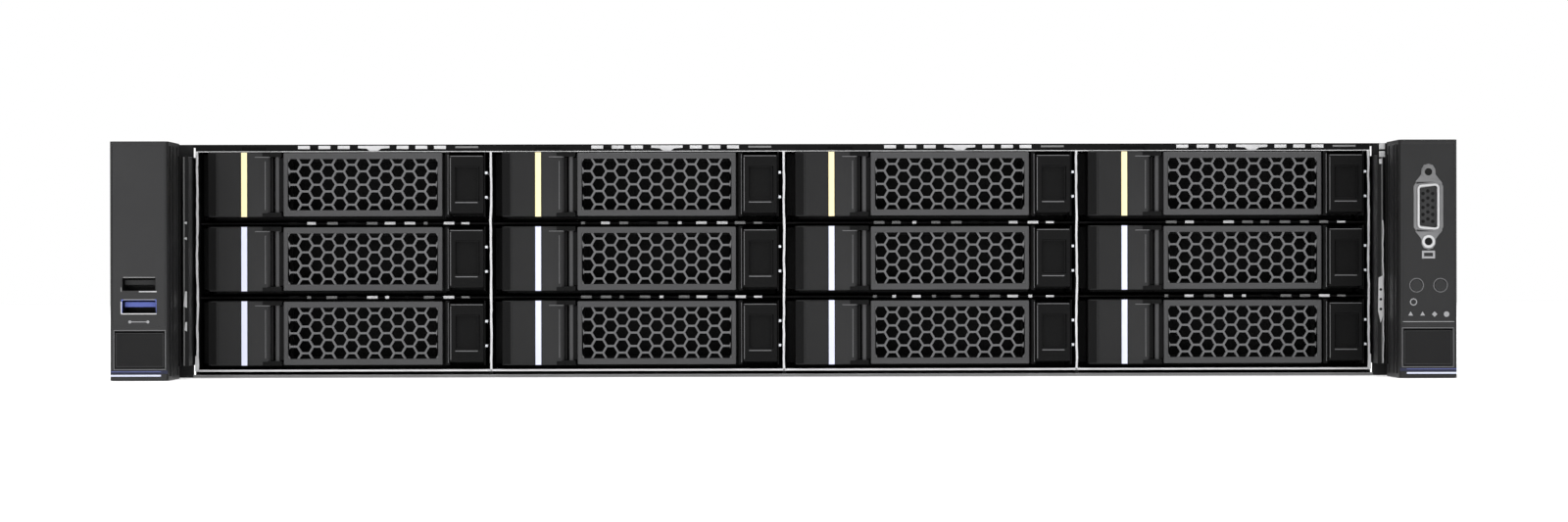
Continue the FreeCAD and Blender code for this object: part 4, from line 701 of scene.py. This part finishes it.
def plate_edges(edges):
    """Bright front edges of the cage's uprights, floor and top: uncoated metal with painted glints."""
    plates = [left - PLATE / 2 for left in LEFTS] + [LEFTS[-1] + BAY + PLATE / 2]
    for k, x in enumerate(plates):
        edges.outline(wavy(x, EDGE_FOOT, EDGE_TOP, EDGE_WIDTH, EDGE_SEED + k),
                      *skin(CAGE_FRONT, 0.25), BARE_AND_GLINT)
    wide = within((-HALF, HALF), 1.0)
    edges.block(wide, skin(CAGE_FRONT, 0.25), (2.2, 2.95), BARE_AND_GLINT)
    edges.block((-HALF, HALF), skin(CAGE_FRONT, 0.1), (0.0, EDGE_WIDTH), DULL)
    edges.block(wide, skin(CAGE_FRONT, 0.12), (HEIGHT - 2.75, HEIGHT - 2.45), BARE_AND_GLINT)
    for side in (-1, 1):
        x = side * (HALF - 1.6)
        corner = [(x, EDGE_FOOT), (x + side * 0.9, EDGE_FOOT), (x + side * 0.9, 8.0),
                  (x + side * 0.2, 8.0)]
        edges.outline(corner[::side], *skin(CAGE_FRONT, 0.3), BARE_AND_GLINT)


def bracket_bits(edges):
    """Edge, gusset, rivets and tabs that show on the brackets between the cage and the ears, the bright
    ones with painted glints.
    """
    x = BRACKET_X
    depths = skin(BRACKET_FRONT, 0.2)
    edges.outline(wavy(x + 1.2, 4.8, 57.0, 0.4, BRACKET_SEED), *depths, BARE_AND_GLINT)
    gusset = [(x - 0.5, 36.0), (x + 1.0, 36.8), (x + 1.3, 22.5), (x + 0.2, 19.5), (x - 0.7, 24.0)]
    edges.outline(gusset[::-1], *skin(BRACKET_FRONT, 0.3), BARE_AND_GLINT)
    for z in (24.5, 28.1, 31.7):
        edges.bar((x + 0.25, BRACKET_FRONT - 0.3, z), "y", 0.5, 0.2, BLACK, 12)
    for low, high, reach in ((77.7, 79.5, 0.9), (80.2, 82.3, 1.9), (83.0, 85.4, 1.9)):
        edges.block((x - 0.2, x + reach), depths, (low, high), BARE_AND_GLINT)
    for low, high, reach in ((56.2, 57.2, 0.9), (50.5, 51.5, 0.9), (25.8, 31.8, 1.1),
                             (17.2, 20.6, 0.8)):
        edges.outline([(-x - reach, low + 0.5), (-x + 0.2, low), (-x + 0.2, high),
                       (-x - reach / 2, high)], *depths, BARE_AND_GLINT)


def band_dashes():
    """Bright dashes between the slots of the band over the bays, and the lens in their middle, in
    bright metal with painted glints.
    """
    low, high = HEIGHT - 1.65, HEIGHT - 0.45
    lens = [(58.3, 0.3), (61.5, 0.1), (62.6, -0.75), (65.6, -0.75), (66.8, 0.1), (69.9, 0.3),
            (69.9, 1.2), (58.3, 1.2)]
    dash = 4.4
    dashes = Bits()
    for left in LEFTS:
        for start in (36.3, 43.8, 50.9, 72.5, 79.4, 86.2):
            dashes.block((left + start, left + start + dash), skin(CAGE_FRONT, 0.12),
                         (low, high), BARE_AND_GLINT)
        dashes.block((left + 94.0, left + 102.5), skin(CAGE_FRONT, 0.1),
                     (low + 0.3, high - 0.2), DULL)
        dashes.outline([(left + u, low + w) for u, w in lens], *skin(CAGE_FRONT, 0.16), BARE_AND_GLINT)
    return dashes.mesh("band_dashes", "bare_and_glint", "dull")


def row_shelves():
    """Thin shelves between the rows, with uneven glints along their front edges."""
    dark, bare_and_glint, dull = range(3)
    glint = (0.2, 0.7)
    chance = random.Random(SHELF_SEED)
    shelves = Bits()
    for left in LEFTS:
        across = within((left, left + BAY), 0.1)
        for foot in FEET[1:]:
            z = foot + SHELF_LIFT
            shelves.block(across, (4.0, 150.0), (z, z + 0.8), dark)
            shelves.block(across, (0.5, 4.0), (z + 0.2, z + 0.6), dark)
            for k in range(9):
                start = left + 32.5 + 7.1 * k + chance.uniform(-0.4, 0.4)
                finish = chance.choice((bare_and_glint, bare_and_glint, dull, dull, dark))
                long = chance.choice((3.9, 3.9, 3.2, 1.4))
                shelves.block((start, start + long), glint, (z, z + 0.95), finish)
            shelves.block((left + 96.0, left + 99.0), glint, (z + 0.1, z + 0.8),
                          chance.choice((bare_and_glint, dull)))
    return shelves.mesh("row_shelves", "cage", "bare_and_glint", "dull")


def build_cage_front():
    """Bright edges of the plates and brackets with painted glints, the band's dashes, and the shelves.
    """
    edges = Bits()
    plate_edges(edges)
    bracket_bits(edges)
    place("cage_edges", edges.mesh("cage_edges", "bare_and_glint", "dull", "black"), "chassis",
          bevel=0.08)
    place("band_dashes", band_dashes(), "chassis", bevel=0.1)
    place("row_shelves", row_shelves(), "chassis")


# ---------------------------------------------------------------- ears
USB_FEET = (23.9, 31.85)      # foot of each shell, the lower one with a blue tongue
DISPLAY_Z = 61.5              # middle of the display socket
BUTTONS_Z = 33.3
BUTTONS_APART = 8.6


def ear_choice(centre, normal):
    """Front faces and ends in the ear plastic, the side walls and recesses in a darker copy of it:
    painted shade.
    """
    front = normal.y < -0.7 and centre.y < EAR_FACE + 0.3
    end = abs(normal.z) > 0.7 and centre.y < BRACKET_FRONT
    return 0 if front or end else 1


def hardware_choice(centre, _):
    """Steel shells, tongues, the contact block and the screws."""
    steel, black, blue, dark = range(4)
    aside = abs(centre.x + EAR_CENTRE)
    for foot, finish in zip(USB_FEET, (blue, black)):
        if aside < 6.2 and foot < centre.z < foot + 5.2:
            tongue = aside < 5.6 and foot + 2.4 < centre.z < foot + 4.3
            # inside a USB shell, all but the tongue takes the darker ear finish: painted shade
            return finish if tongue and centre.y < EAR_FACE + 11.9 else dark
    in_display = abs(centre.x - EAR_CENTRE) < 3.2 and abs(centre.z - DISPLAY_Z) < 7.4
    return dark if in_display and centre.y > EAR_FACE + 0.5 else steel


def side_ribs(side):
    """Upright ribs and lines on an ear's inner wall, and the bracket's uncoated edge with a dim painted
    glint.
    """
    dark, cage, dull = range(3)
    wall = side * EAR_INNER
    x = side * (HALF + 1.7)
    ribs = Bits()
    for y, deep in ((-30.0, 0.35), (-24.0, 0.25), (-16.0, 0.3)):
        ribs.block(sorted((wall, wall - side * deep)), (y, y + 0.7), within((0.0, HEIGHT), 1.5),
                   dark)
    ribs.block(sorted((wall, wall - side * 0.6)), (-13.4, -11.2), within((0.0, HEIGHT), 4.6),
               cage)
    ribs.block(sorted((x - side * 0.2, x + side * 0.35)), (BRACKET_FRONT, BRACKET_FRONT + 0.6),
               (4.7, HEIGHT - 4.8), dull)
    return ribs


def ear_trim(side, flap_low, flap_high):
    """Navy foot with a pale line under it and a painted highlight line along it, a painted highlight
    line round the flap's seat, and the line round the ear's upper part.
    """
    highlight_line, accent, line, edge, soft = range(5)
    low, high = sorted((side * EAR_INNER, side * EAR_OUTER))
    pale = (low + 0.3, high - 2.6) if side < 0 else (low + 2.6, high - 0.3)
    trim = Bits()
    trim.block(within((low, high), 0.3), (EAR_FACE + 0.15, EAR_FACE + 0.6), (2.45, 3.65), accent)
    trim.block(pale, skin(EAR_FACE, 0.06, 0.3), (1.5, 2.15), line)
    # a lighter blue line along the navy foot: painted highlight
    trim.block(pale, (EAR_FACE + 0.05, EAR_FACE + 0.3), (3.1, 3.4), soft)
    # a pale line round the flap's seat: painted highlight
    trim.frame(within((flap_low.x, flap_high.x), 0.3), within((flap_low.z, flap_high.z), -0.65),
               0.28, skin(EAR_FACE, 0.05, 0.2), highlight_line)
    trim.frame(within((low, high), 0.7), (19.2, HEIGHT - 1.1), 0.3, skin(EAR_FACE, 0.06, 0.2),
               edge)
    return trim


def flap_line(flap_low, flap_high):
    """A thin raised line round a flap's face, in the paler ear plastic as a painted highlight."""
    panel = Bits()
    panel.frame(within((flap_low.x, flap_high.x), 1.1), within((flap_low.z, flap_high.z), 0.5),
                0.22, skin(EAR_FACE, 0.05, 0.2))
    return panel


def build_ears():
    """Both ears and their flaps with broken edges, and the ribs and lines on them."""
    for side, name in ((-1, "left"), (1, "right")):
        # the right ear takes the darker copy of the ear plastic: painted shade
        softened("ear_" + name, 0.4,
                 ("ear" if side < 0 else "ear_right_shaded", "ear_side_shade"), ear_choice)
        softened("ear_latch_" + name, 0.3, ("flap",))
        place("ear_ribs_" + name,
              side_ribs(side).mesh("ear_ribs_" + name, "ear_side_shade", "cage", "dull"),
              "chassis", bevel=0.1)
        flap = corners("ear_latch_" + name)
        place("ear_trim_" + name,
              ear_trim(side, *flap).mesh("ear_trim_" + name, "highlight_line", "accent", "accent_line",
                                         "ear", "accent_painted_highlight"),
              "chassis", bevel=0.05)
        place("flap_line_" + name, flap_line(*flap).mesh("flap_line_" + name, "ear"),
              "ear_latch_" + name)


# ---------------------------------------------------------------- sockets and marks
SHINE, PAINTED_GLEAM, HOLE, MARK, PLAIN = range(5)     # finishes of the right ear's trim: nickel, a brighter nickel as painted highlight, black discs for holes as painted shade, print, and the ear plastic
SHELL_HALF = 6.35             # half of a USB shell's width
FLANGE_REACH = 8.9            # where the display socket's flange starts, above and below
PIN_PITCH = 2.5               # contacts up a column
JACKS_APART = 25.0


def usb_edges():
    """Bright edges of the shells, as painted highlights, and the plain line with two dots under them.
    """
    bright, dull, mark = range(3)
    across = about(-EAR_CENTRE, SHELL_HALF)
    left = Bits()
    # the painted highlights take the lower shell's whole foot and most of its side, the upper one's
    # half foot and less side
    for foot, start, tall, side in zip(USB_FEET, (0, 6.4), (4.4, 1.6), (bright, dull)):
        left.block((across[0] + start, across[1]), skin(EAR_FACE, 0.1, 0.5),
                   (foot - 0.15, foot + 0.2), bright)
        left.block((across[0] + 0.8, across[1] - 0.6), skin(EAR_FACE, 0.08, 0.5),
                   (foot + 4.95, foot + 5.3), dull)
        left.block((across[0] - 0.1, across[0] + 0.25), skin(EAR_FACE, 0.1, 0.5),
                   (foot, foot + tall), side)
    line = about(-EAR_CENTRE, 3.2)
    left.block(line, skin(EAR_FACE, 0.08), (20.9, 21.2), mark)
    for x in line[::-1]:
        left.bar((x, EAR_FACE, 21.05), "y", 0.55, 0.2, mark)
    return left.mesh("socket_edges", "bright", "dull", "mark")


def d_shape(x, z, inset):
    """The display socket's outline, its corners rounded, drawn in by an inset."""
    points = []
    for across, up, turn in ((1, 6.8, 0), (-1, 6.4, 1), (-1, -6.4, 2), (1, -6.8, 3)):
        for step in range(4):
            t = math.pi / 2 * (turn + step / 3)
            radius = 1.5 - inset
            points.append((x + across * 2.45 + radius * math.cos(t),
                           z + up + radius * math.sin(t)))
    return points


def flange_outline(x, z):
    """The display socket's flange, as wide as the jacks at its ends and wider beside the shell."""
    half = [(0.0, 15.4), (1.6, 14.9), (2.5, 13.5), (2.6, 11.6), (3.6, 10.2), (5.0, 8.6), (5.3, 7.4)]
    back = half[::-1]
    return ([(x + u, z + w) for u, w in half] + [(x + u, z - w) for u, w in back]
            + [(x - u, z - w) for u, w in half[1:]] + [(x - u, z + w) for u, w in back[:-1]])


def display_flange(right, x, z):
    """The flange plate round the shell: its two ends, and a strip on each side."""
    depths = skin(EAR_FACE, 0.12, 0.3)
    plate = flange_outline(x, z)
    right.outline(clipped(plate, low=z + FLANGE_REACH), *depths, SHINE)
    right.outline(clipped(plate, high=z - FLANGE_REACH), *depths, SHINE)
    for s in (-1, 1):
        strip = [(x + s * 4.3, z - FLANGE_REACH), (x + s * 5.3, z - 7.4), (x + s * 5.3, z + 7.4),
                 (x + s * 4.3, z + FLANGE_REACH)]
        right.outline(strip[::s], *depths, SHINE)


def display_shell(right, x, z):
    """The shell in its flange, the block inside it, and three columns of contact holes."""
    right.band(d_shape(x, z, -1.7), d_shape(x, z, -0.1), EAR_FACE + 0.05, EAR_FACE + 0.4, SHINE)
    # the shell's rim in the brighter nickel: painted highlight
    right.band(d_shape(x, z, 0.0), d_shape(x, z, 0.75), EAR_FACE - 0.3, EAR_FACE + 1.2, PAINTED_GLEAM)
    right.outline(d_shape(x, z, 0.7), EAR_FACE + 0.9, EAR_FACE + 1.1, PLAIN)
    # the contact holes are black discs: painted shade
    for column, lift in ((-1, -0.3), (0, 0.6), (1, -0.3)):
        for row in range(5):
            right.bar((x + 1.75 * column, EAR_FACE + 0.85, z + PIN_PITCH * (2 - row) + lift),
                      "y", 0.62, 0.2, HOLE, 12)


def jacks(right, x, z):
    """The jack screws above and below the display socket, the lower one in the brighter nickel as a
    painted highlight, with black discs in their holes as painted shade.
    """
    for side, finish in ((-1, PAINTED_GLEAM), (1, SHINE)):
        jack = z + side * JACKS_APART / 2
        right.band(circle(x, jack, 2.3), circle(x, jack, 1.45), *skin(EAR_FACE, 0.4, 0.3), finish)
        right.bar((x, EAR_FACE - 0.1, jack), "y", 1.35, 0.2, HOLE)


def status_marks(right, x):
    """Plain signs: a frame, two triangles, a square, a dot and a ring, and two lines across."""
    depths = skin(EAR_FACE, 0.06)
    right.frame(about(x, 2.35), (42.9, 45.7), 0.75, depths, MARK)
    signs = ((3, 0.75), (3, 0.75), (4, 0.0), (16, 0.0))
    for k, (sides, start) in enumerate(signs):
        sign = circle(x - 6.45 + 4.3 * k, 22.9, 1.0, sides, start)
        right.outline(sign[::-1], *depths, MARK)
    ring = (x - 5.4, 27.3)
    right.band(circle(*ring, 1.3, 20), circle(*ring, 0.95, 20), *depths, MARK)
    across = within((EAR_INNER, EAR_OUTER), 1.2)
    right.block(across, skin(EAR_FACE, 0.05), (20.1, 20.35), MARK)
    right.block(across, skin(EAR_FACE, 0.05), (18.7, 18.95), PLAIN)


def build_sockets():
    """The sockets and rack screws, what shows round them, and the two push buttons."""
    softened("ear_hardware", 0.1,
             ("dull", "black_tongue", "blue_tongue", "ear_side_shade"), hardware_choice)
    place("socket_edges", usb_edges(), "chassis")
    x = EAR_CENTRE
    right = Bits()
    display_flange(right, x, DISPLAY_Z)
    display_shell(right, x, DISPLAY_Z)
    jacks(right, x, DISPLAY_Z)
    status_marks(right, x)
    place("display_socket",
          right.mesh("display_socket", "nickel", "bright", "black", "mark", "ear"),
          "chassis", bevel=0.06)
    for name, side in (("power", 1), ("locator", -1)):
        softened(name + "_button", 0.3, ("push",))
        spot = (x + side * BUTTONS_APART / 2, BUTTONS_Z)
        # a pale ring round each push button: painted highlight
        ring = Bits()
        ring.band(circle(*spot, 2.6, 28), circle(*spot, 2.3, 28), *skin(EAR_FACE, 0.06, 0.2))
        place(name + "_ring", ring.mesh(name + "_ring", "highlight_line"), "chassis")


# ---------------------------------------------------------------- chassis, cover and what is inside
SINK_ZONE = (315, 415)        # depths of the heat sinks
SINKS = (-124, 36)            # their middles
SINK_REACH = 38.5
PORT_ZONE = 690               # depth from which the ports stand
BOARD_TOP = 10.5
SOCKET_TOP = 15.6


def front_edge(centre, normal):
    """Bare metal with a painted glint on the edges that face the front."""
    return 1 if normal.y < -0.7 and centre.y < 0 else 0


def board_choice(centre, _):
    """Board, heat sinks, ports and low sockets by their place."""
    board, sink, port, socket = range(4)
    if centre.z < BOARD_TOP:
        return board
    if centre.y > PORT_ZONE:
        return port
    in_depth = SINK_ZONE[0] < centre.y < SINK_ZONE[1]
    if in_depth and any(abs(centre.x - middle) < SINK_REACH for middle in SINKS):
        return sink
    return socket if centre.z < SOCKET_TOP else board


def build_chassis():
    """Finishes of the chassis, the cover, the supplies and all that is inside."""
    painted("drive_cage", "cage")
    painted("chassis_tray", "zinc", "bare_and_glint", choose=front_edge)
    painted("drive_backplane", "board")
    painted("fan_cage", "fan")
    painted("mainboard", "board", "bright", "nickel", "slot", choose=board_choice)
    painted("air_duct", "duct")
    painted("riser_cages", "zinc")
    softened("top_cover", 0.3, ("cover",))
    softened("cover_latch", 0.4, ("touch",))
    for number in range(1, FANS + 1):
        painted("fan_rotor_%d" % number, "fan")
    for number in range(1, SUPPLIES + 1):
        softened("psu_%d" % number, 0.3, ("zinc",))
        softened("psu_latch_%d" % number, 0.3, ("release",))


def screw(bits, centre, axis, side, radius, finish, dark):
    """A flat screw head with its crossed recess drawn as a flat dark cross, painted shade, on a face
    that looks along one side of an axis.
    """
    spot = Vector(centre)
    bits.bar(spot, axis, radius, 0.8, finish, 20)
    step = Vector([side if a == axis else 0.0 for a in "xyz"])
    for k in range(2):
        lean = [radius * 0.55 if a != axis else 0.05 for a in "xyz"]
        thin = [n for n, a in enumerate("xyz") if a != axis][k]
        lean[thin] = radius * 0.14
        middle = spot + step * 0.37
        bits.block(*[(m - d, m + d) for m, d in zip(middle, lean)], dark)


RIB_FOOT = HEIGHT - 0.78      # pressed ribs and seams reach down to here
SCREW_Z = HEIGHT - 0.43       # middle of a screw head on top


def fixed_panel():
    """Screws and pressed frames of the panel over the drives."""
    steel, dark = range(2)
    panel = Bits()
    for x in (-190.0, -95.0, 0.0, 95.0, 190.0):
        screw(panel, (x, 190.0, SCREW_Z), "z", 1, 2.6, steel, dark)
    for x in (-150.0, -50.0, 50.0, 150.0):
        panel.frame_flat(about(x, 38.0), (24.0, 160.0), 1.1, (RIB_FOOT, HEIGHT), dark)
    return panel.mesh("panel_ribs", "screw", "bezel_black_and_shade")


def sliding_cover():
    """Pressed frames, seams and screws of the cover."""
    rib, seam, steel = range(3)
    tall = (RIB_FOOT, HEIGHT)
    lid = Bits()
    for x in ((-205.0, -30.0), (30.0, 205.0)):
        lid.frame_flat(x, (COVER_FRONT + 36.0, 350.0), 1.4, tall, rib)
        lid.frame_flat(x, (470.0, REAR - 24.0), 1.4, tall, rib)
    for y in ((COVER_FRONT + 20.0, COVER_FRONT + 20.8), (REAR - 8.0, REAR - 7.4)):
        lid.block((-210.0, 210.0), y, tall, seam)
    for x in (-200.0, 200.0):
        screw(lid, (x, COVER_FRONT + 28.0, SCREW_Z), "z", 1, 2.4, steel, seam)
    return lid.mesh("cover_ribs", "zinc", "seam", "screw")


def build_top():
    """What is pressed into the two top sheets and screwed through them."""
    place("panel_ribs", fixed_panel(), "chassis", bevel=0.06)
    place("cover_ribs", sliding_cover(), "top_cover", bevel=0.06)


def build_sides():
    """Screws, and dark slots with a paler band along each one's top, along the chassis walls."""
    steel, seam, paler_band = range(3)
    slot = 38.0
    for side, name in ((-1, "left"), (1, "right")):
        wall = Bits()
        x = side * (HALF + 0.9)
        for y in (55.0, 130.0, 205.0, 300.0, 410.0, 520.0, 630.0, 715.0):
            for z in (12.0, 68.0):
                screw(wall, (x - side * 0.3, y, z), "x", side, 2.0, steel, seam)
        for y in (90.0, 240.0, 460.0, 560.0):
            along = (y, y + slot)
            wall.block(sorted((x - side * 1.0, x + side * 0.06)), along, (40.8, 44.8), seam)
            wall.block(sorted((x - side * 0.9, x + side * 0.1)), within(along, 1.0),
                       (43.9, 44.4), paler_band)
        place("side_screws_" + name, wall.mesh("side_screws_" + name, "screw", "seam", "dull"),
              "chassis", bevel=0.05)


# ---------------------------------------------------------------- stage, in metres
FLOOR_REACH = 2.2
FLOOR_DROP = 0.0002           # below the lowest point, so that the two don't touch
WORLD_GLOW = ((1, 0.3), (2, 1.0))     # light on the object, and what the camera sees
LAMPS = (                     # name, place, target, width, length, power
    ("overhead", (0.0, 0.0, 1.7), (0.0, 0.15, 0.0), 2.6, 2.6, 62.0),
    ("front_left", (-1.5, -1.9, 0.9), (0.0, 0.0, 0.05), 1.0, 1.0, 11.0),
    ("front_right", (1.6, -1.8, 0.9), (0.0, 0.0, 0.05), 1.0, 1.0, 6.0),
    ("rear", (0.3, 2.4, 1.4), (0.0, 0.4, 0.0), 1.6, 1.2, 22.0),
)
FOCAL = 73.6                  # in millimetres, as is the sensor
SENSOR = 36.0
EYE = (-0.0125, -1.1814, 0.0382)
SIGHT = (0.0, 0.0, 0.0382)    # the point that the camera looks at
RISE = 0.0075                 # shift of the view
ROLL = -0.0019                # in radians


def area_light(name, spot, target, width, length, power):
    """A soft rectangular lamp aimed at a point."""
    data = bpy.data.lights.new(name, "AREA")
    data.shape = "RECTANGLE"
    data.size = width
    data.size_y = length
    data.energy = power
    lamp = bpy.data.objects.new(name, data)
    bpy.context.scene.collection.objects.link(lamp)
    lamp.location = spot
    lamp.rotation_euler = (Vector(target) - Vector(spot)).to_track_quat("-Z", "Y").to_euler()


def build_world():
    """White behind the object, and a softer white for the light that falls on it."""
    world = bpy.data.worlds.new("studio")
    bpy.context.scene.world = world
    world.use_nodes = True
    tree = world.node_tree
    tree.nodes.clear()
    out = tree.nodes.new("ShaderNodeOutputWorld")
    path = tree.nodes.new("ShaderNodeLightPath")
    mix = tree.nodes.new("ShaderNodeMixShader")
    tree.links.new(path.outputs["Is Camera Ray"], mix.inputs[0])
    for socket, strength in WORLD_GLOW:
        light = tree.nodes.new("ShaderNodeBackground")
        light.inputs["Color"].default_value = (1.0, 1.0, 1.0, 1.0)
        light.inputs["Strength"].default_value = strength
        tree.links.new(light.outputs[0], mix.inputs[socket])
    tree.links.new(mix.outputs[0], out.inputs[0])


def build_floor():
    """A plain pale floor, a little wider than the view."""
    low = CAD_BOX[0][2] - FLOOR_DROP
    near, far = -FLOOR_REACH, FLOOR_REACH + 0.6
    mesh = bpy.data.meshes.new("floor")
    mesh.from_pydata([(-FLOOR_REACH, near, low), (FLOOR_REACH, near, low),
                      (FLOOR_REACH, far, low), (-FLOOR_REACH, far, low)], [], [(0, 1, 2, 3)])
    floor = bpy.data.objects.new("floor", mesh)
    bpy.context.scene.collection.objects.link(floor)
    mesh.materials.append(surface("floor_paint", (0.93, 0.93, 0.93), 0.7, mottle=0.01,
                                  specular=0.1, emission=(1.0, 1.0, 1.0), glow=0.45))


def build_camera():
    """The camera at the photograph's viewing angle."""
    lens = bpy.data.cameras.new("camera")
    lens.lens = FOCAL
    lens.sensor_width = SENSOR
    lens.shift_y = RISE
    lens.clip_start = 0.05
    camera = bpy.data.objects.new("camera", lens)
    bpy.context.scene.collection.objects.link(camera)
    camera.location = EYE
    sight = Vector(SIGHT) - camera.location
    roll = Matrix.Rotation(ROLL, 4, "Z").to_quaternion()
    camera.rotation_euler = (sight.to_track_quat("-Z", "Y") @ roll).to_euler()
    bpy.context.scene.camera = camera


build_levers()
build_carriers()
build_cage_front()
build_ears()
build_sockets()
build_chassis()
build_top()
build_sides()
bpy.context.scene.view_settings.view_transform = "Standard"
build_world()
build_floor()
for lamp in LAMPS:
    area_light(*lamp)
build_camera()
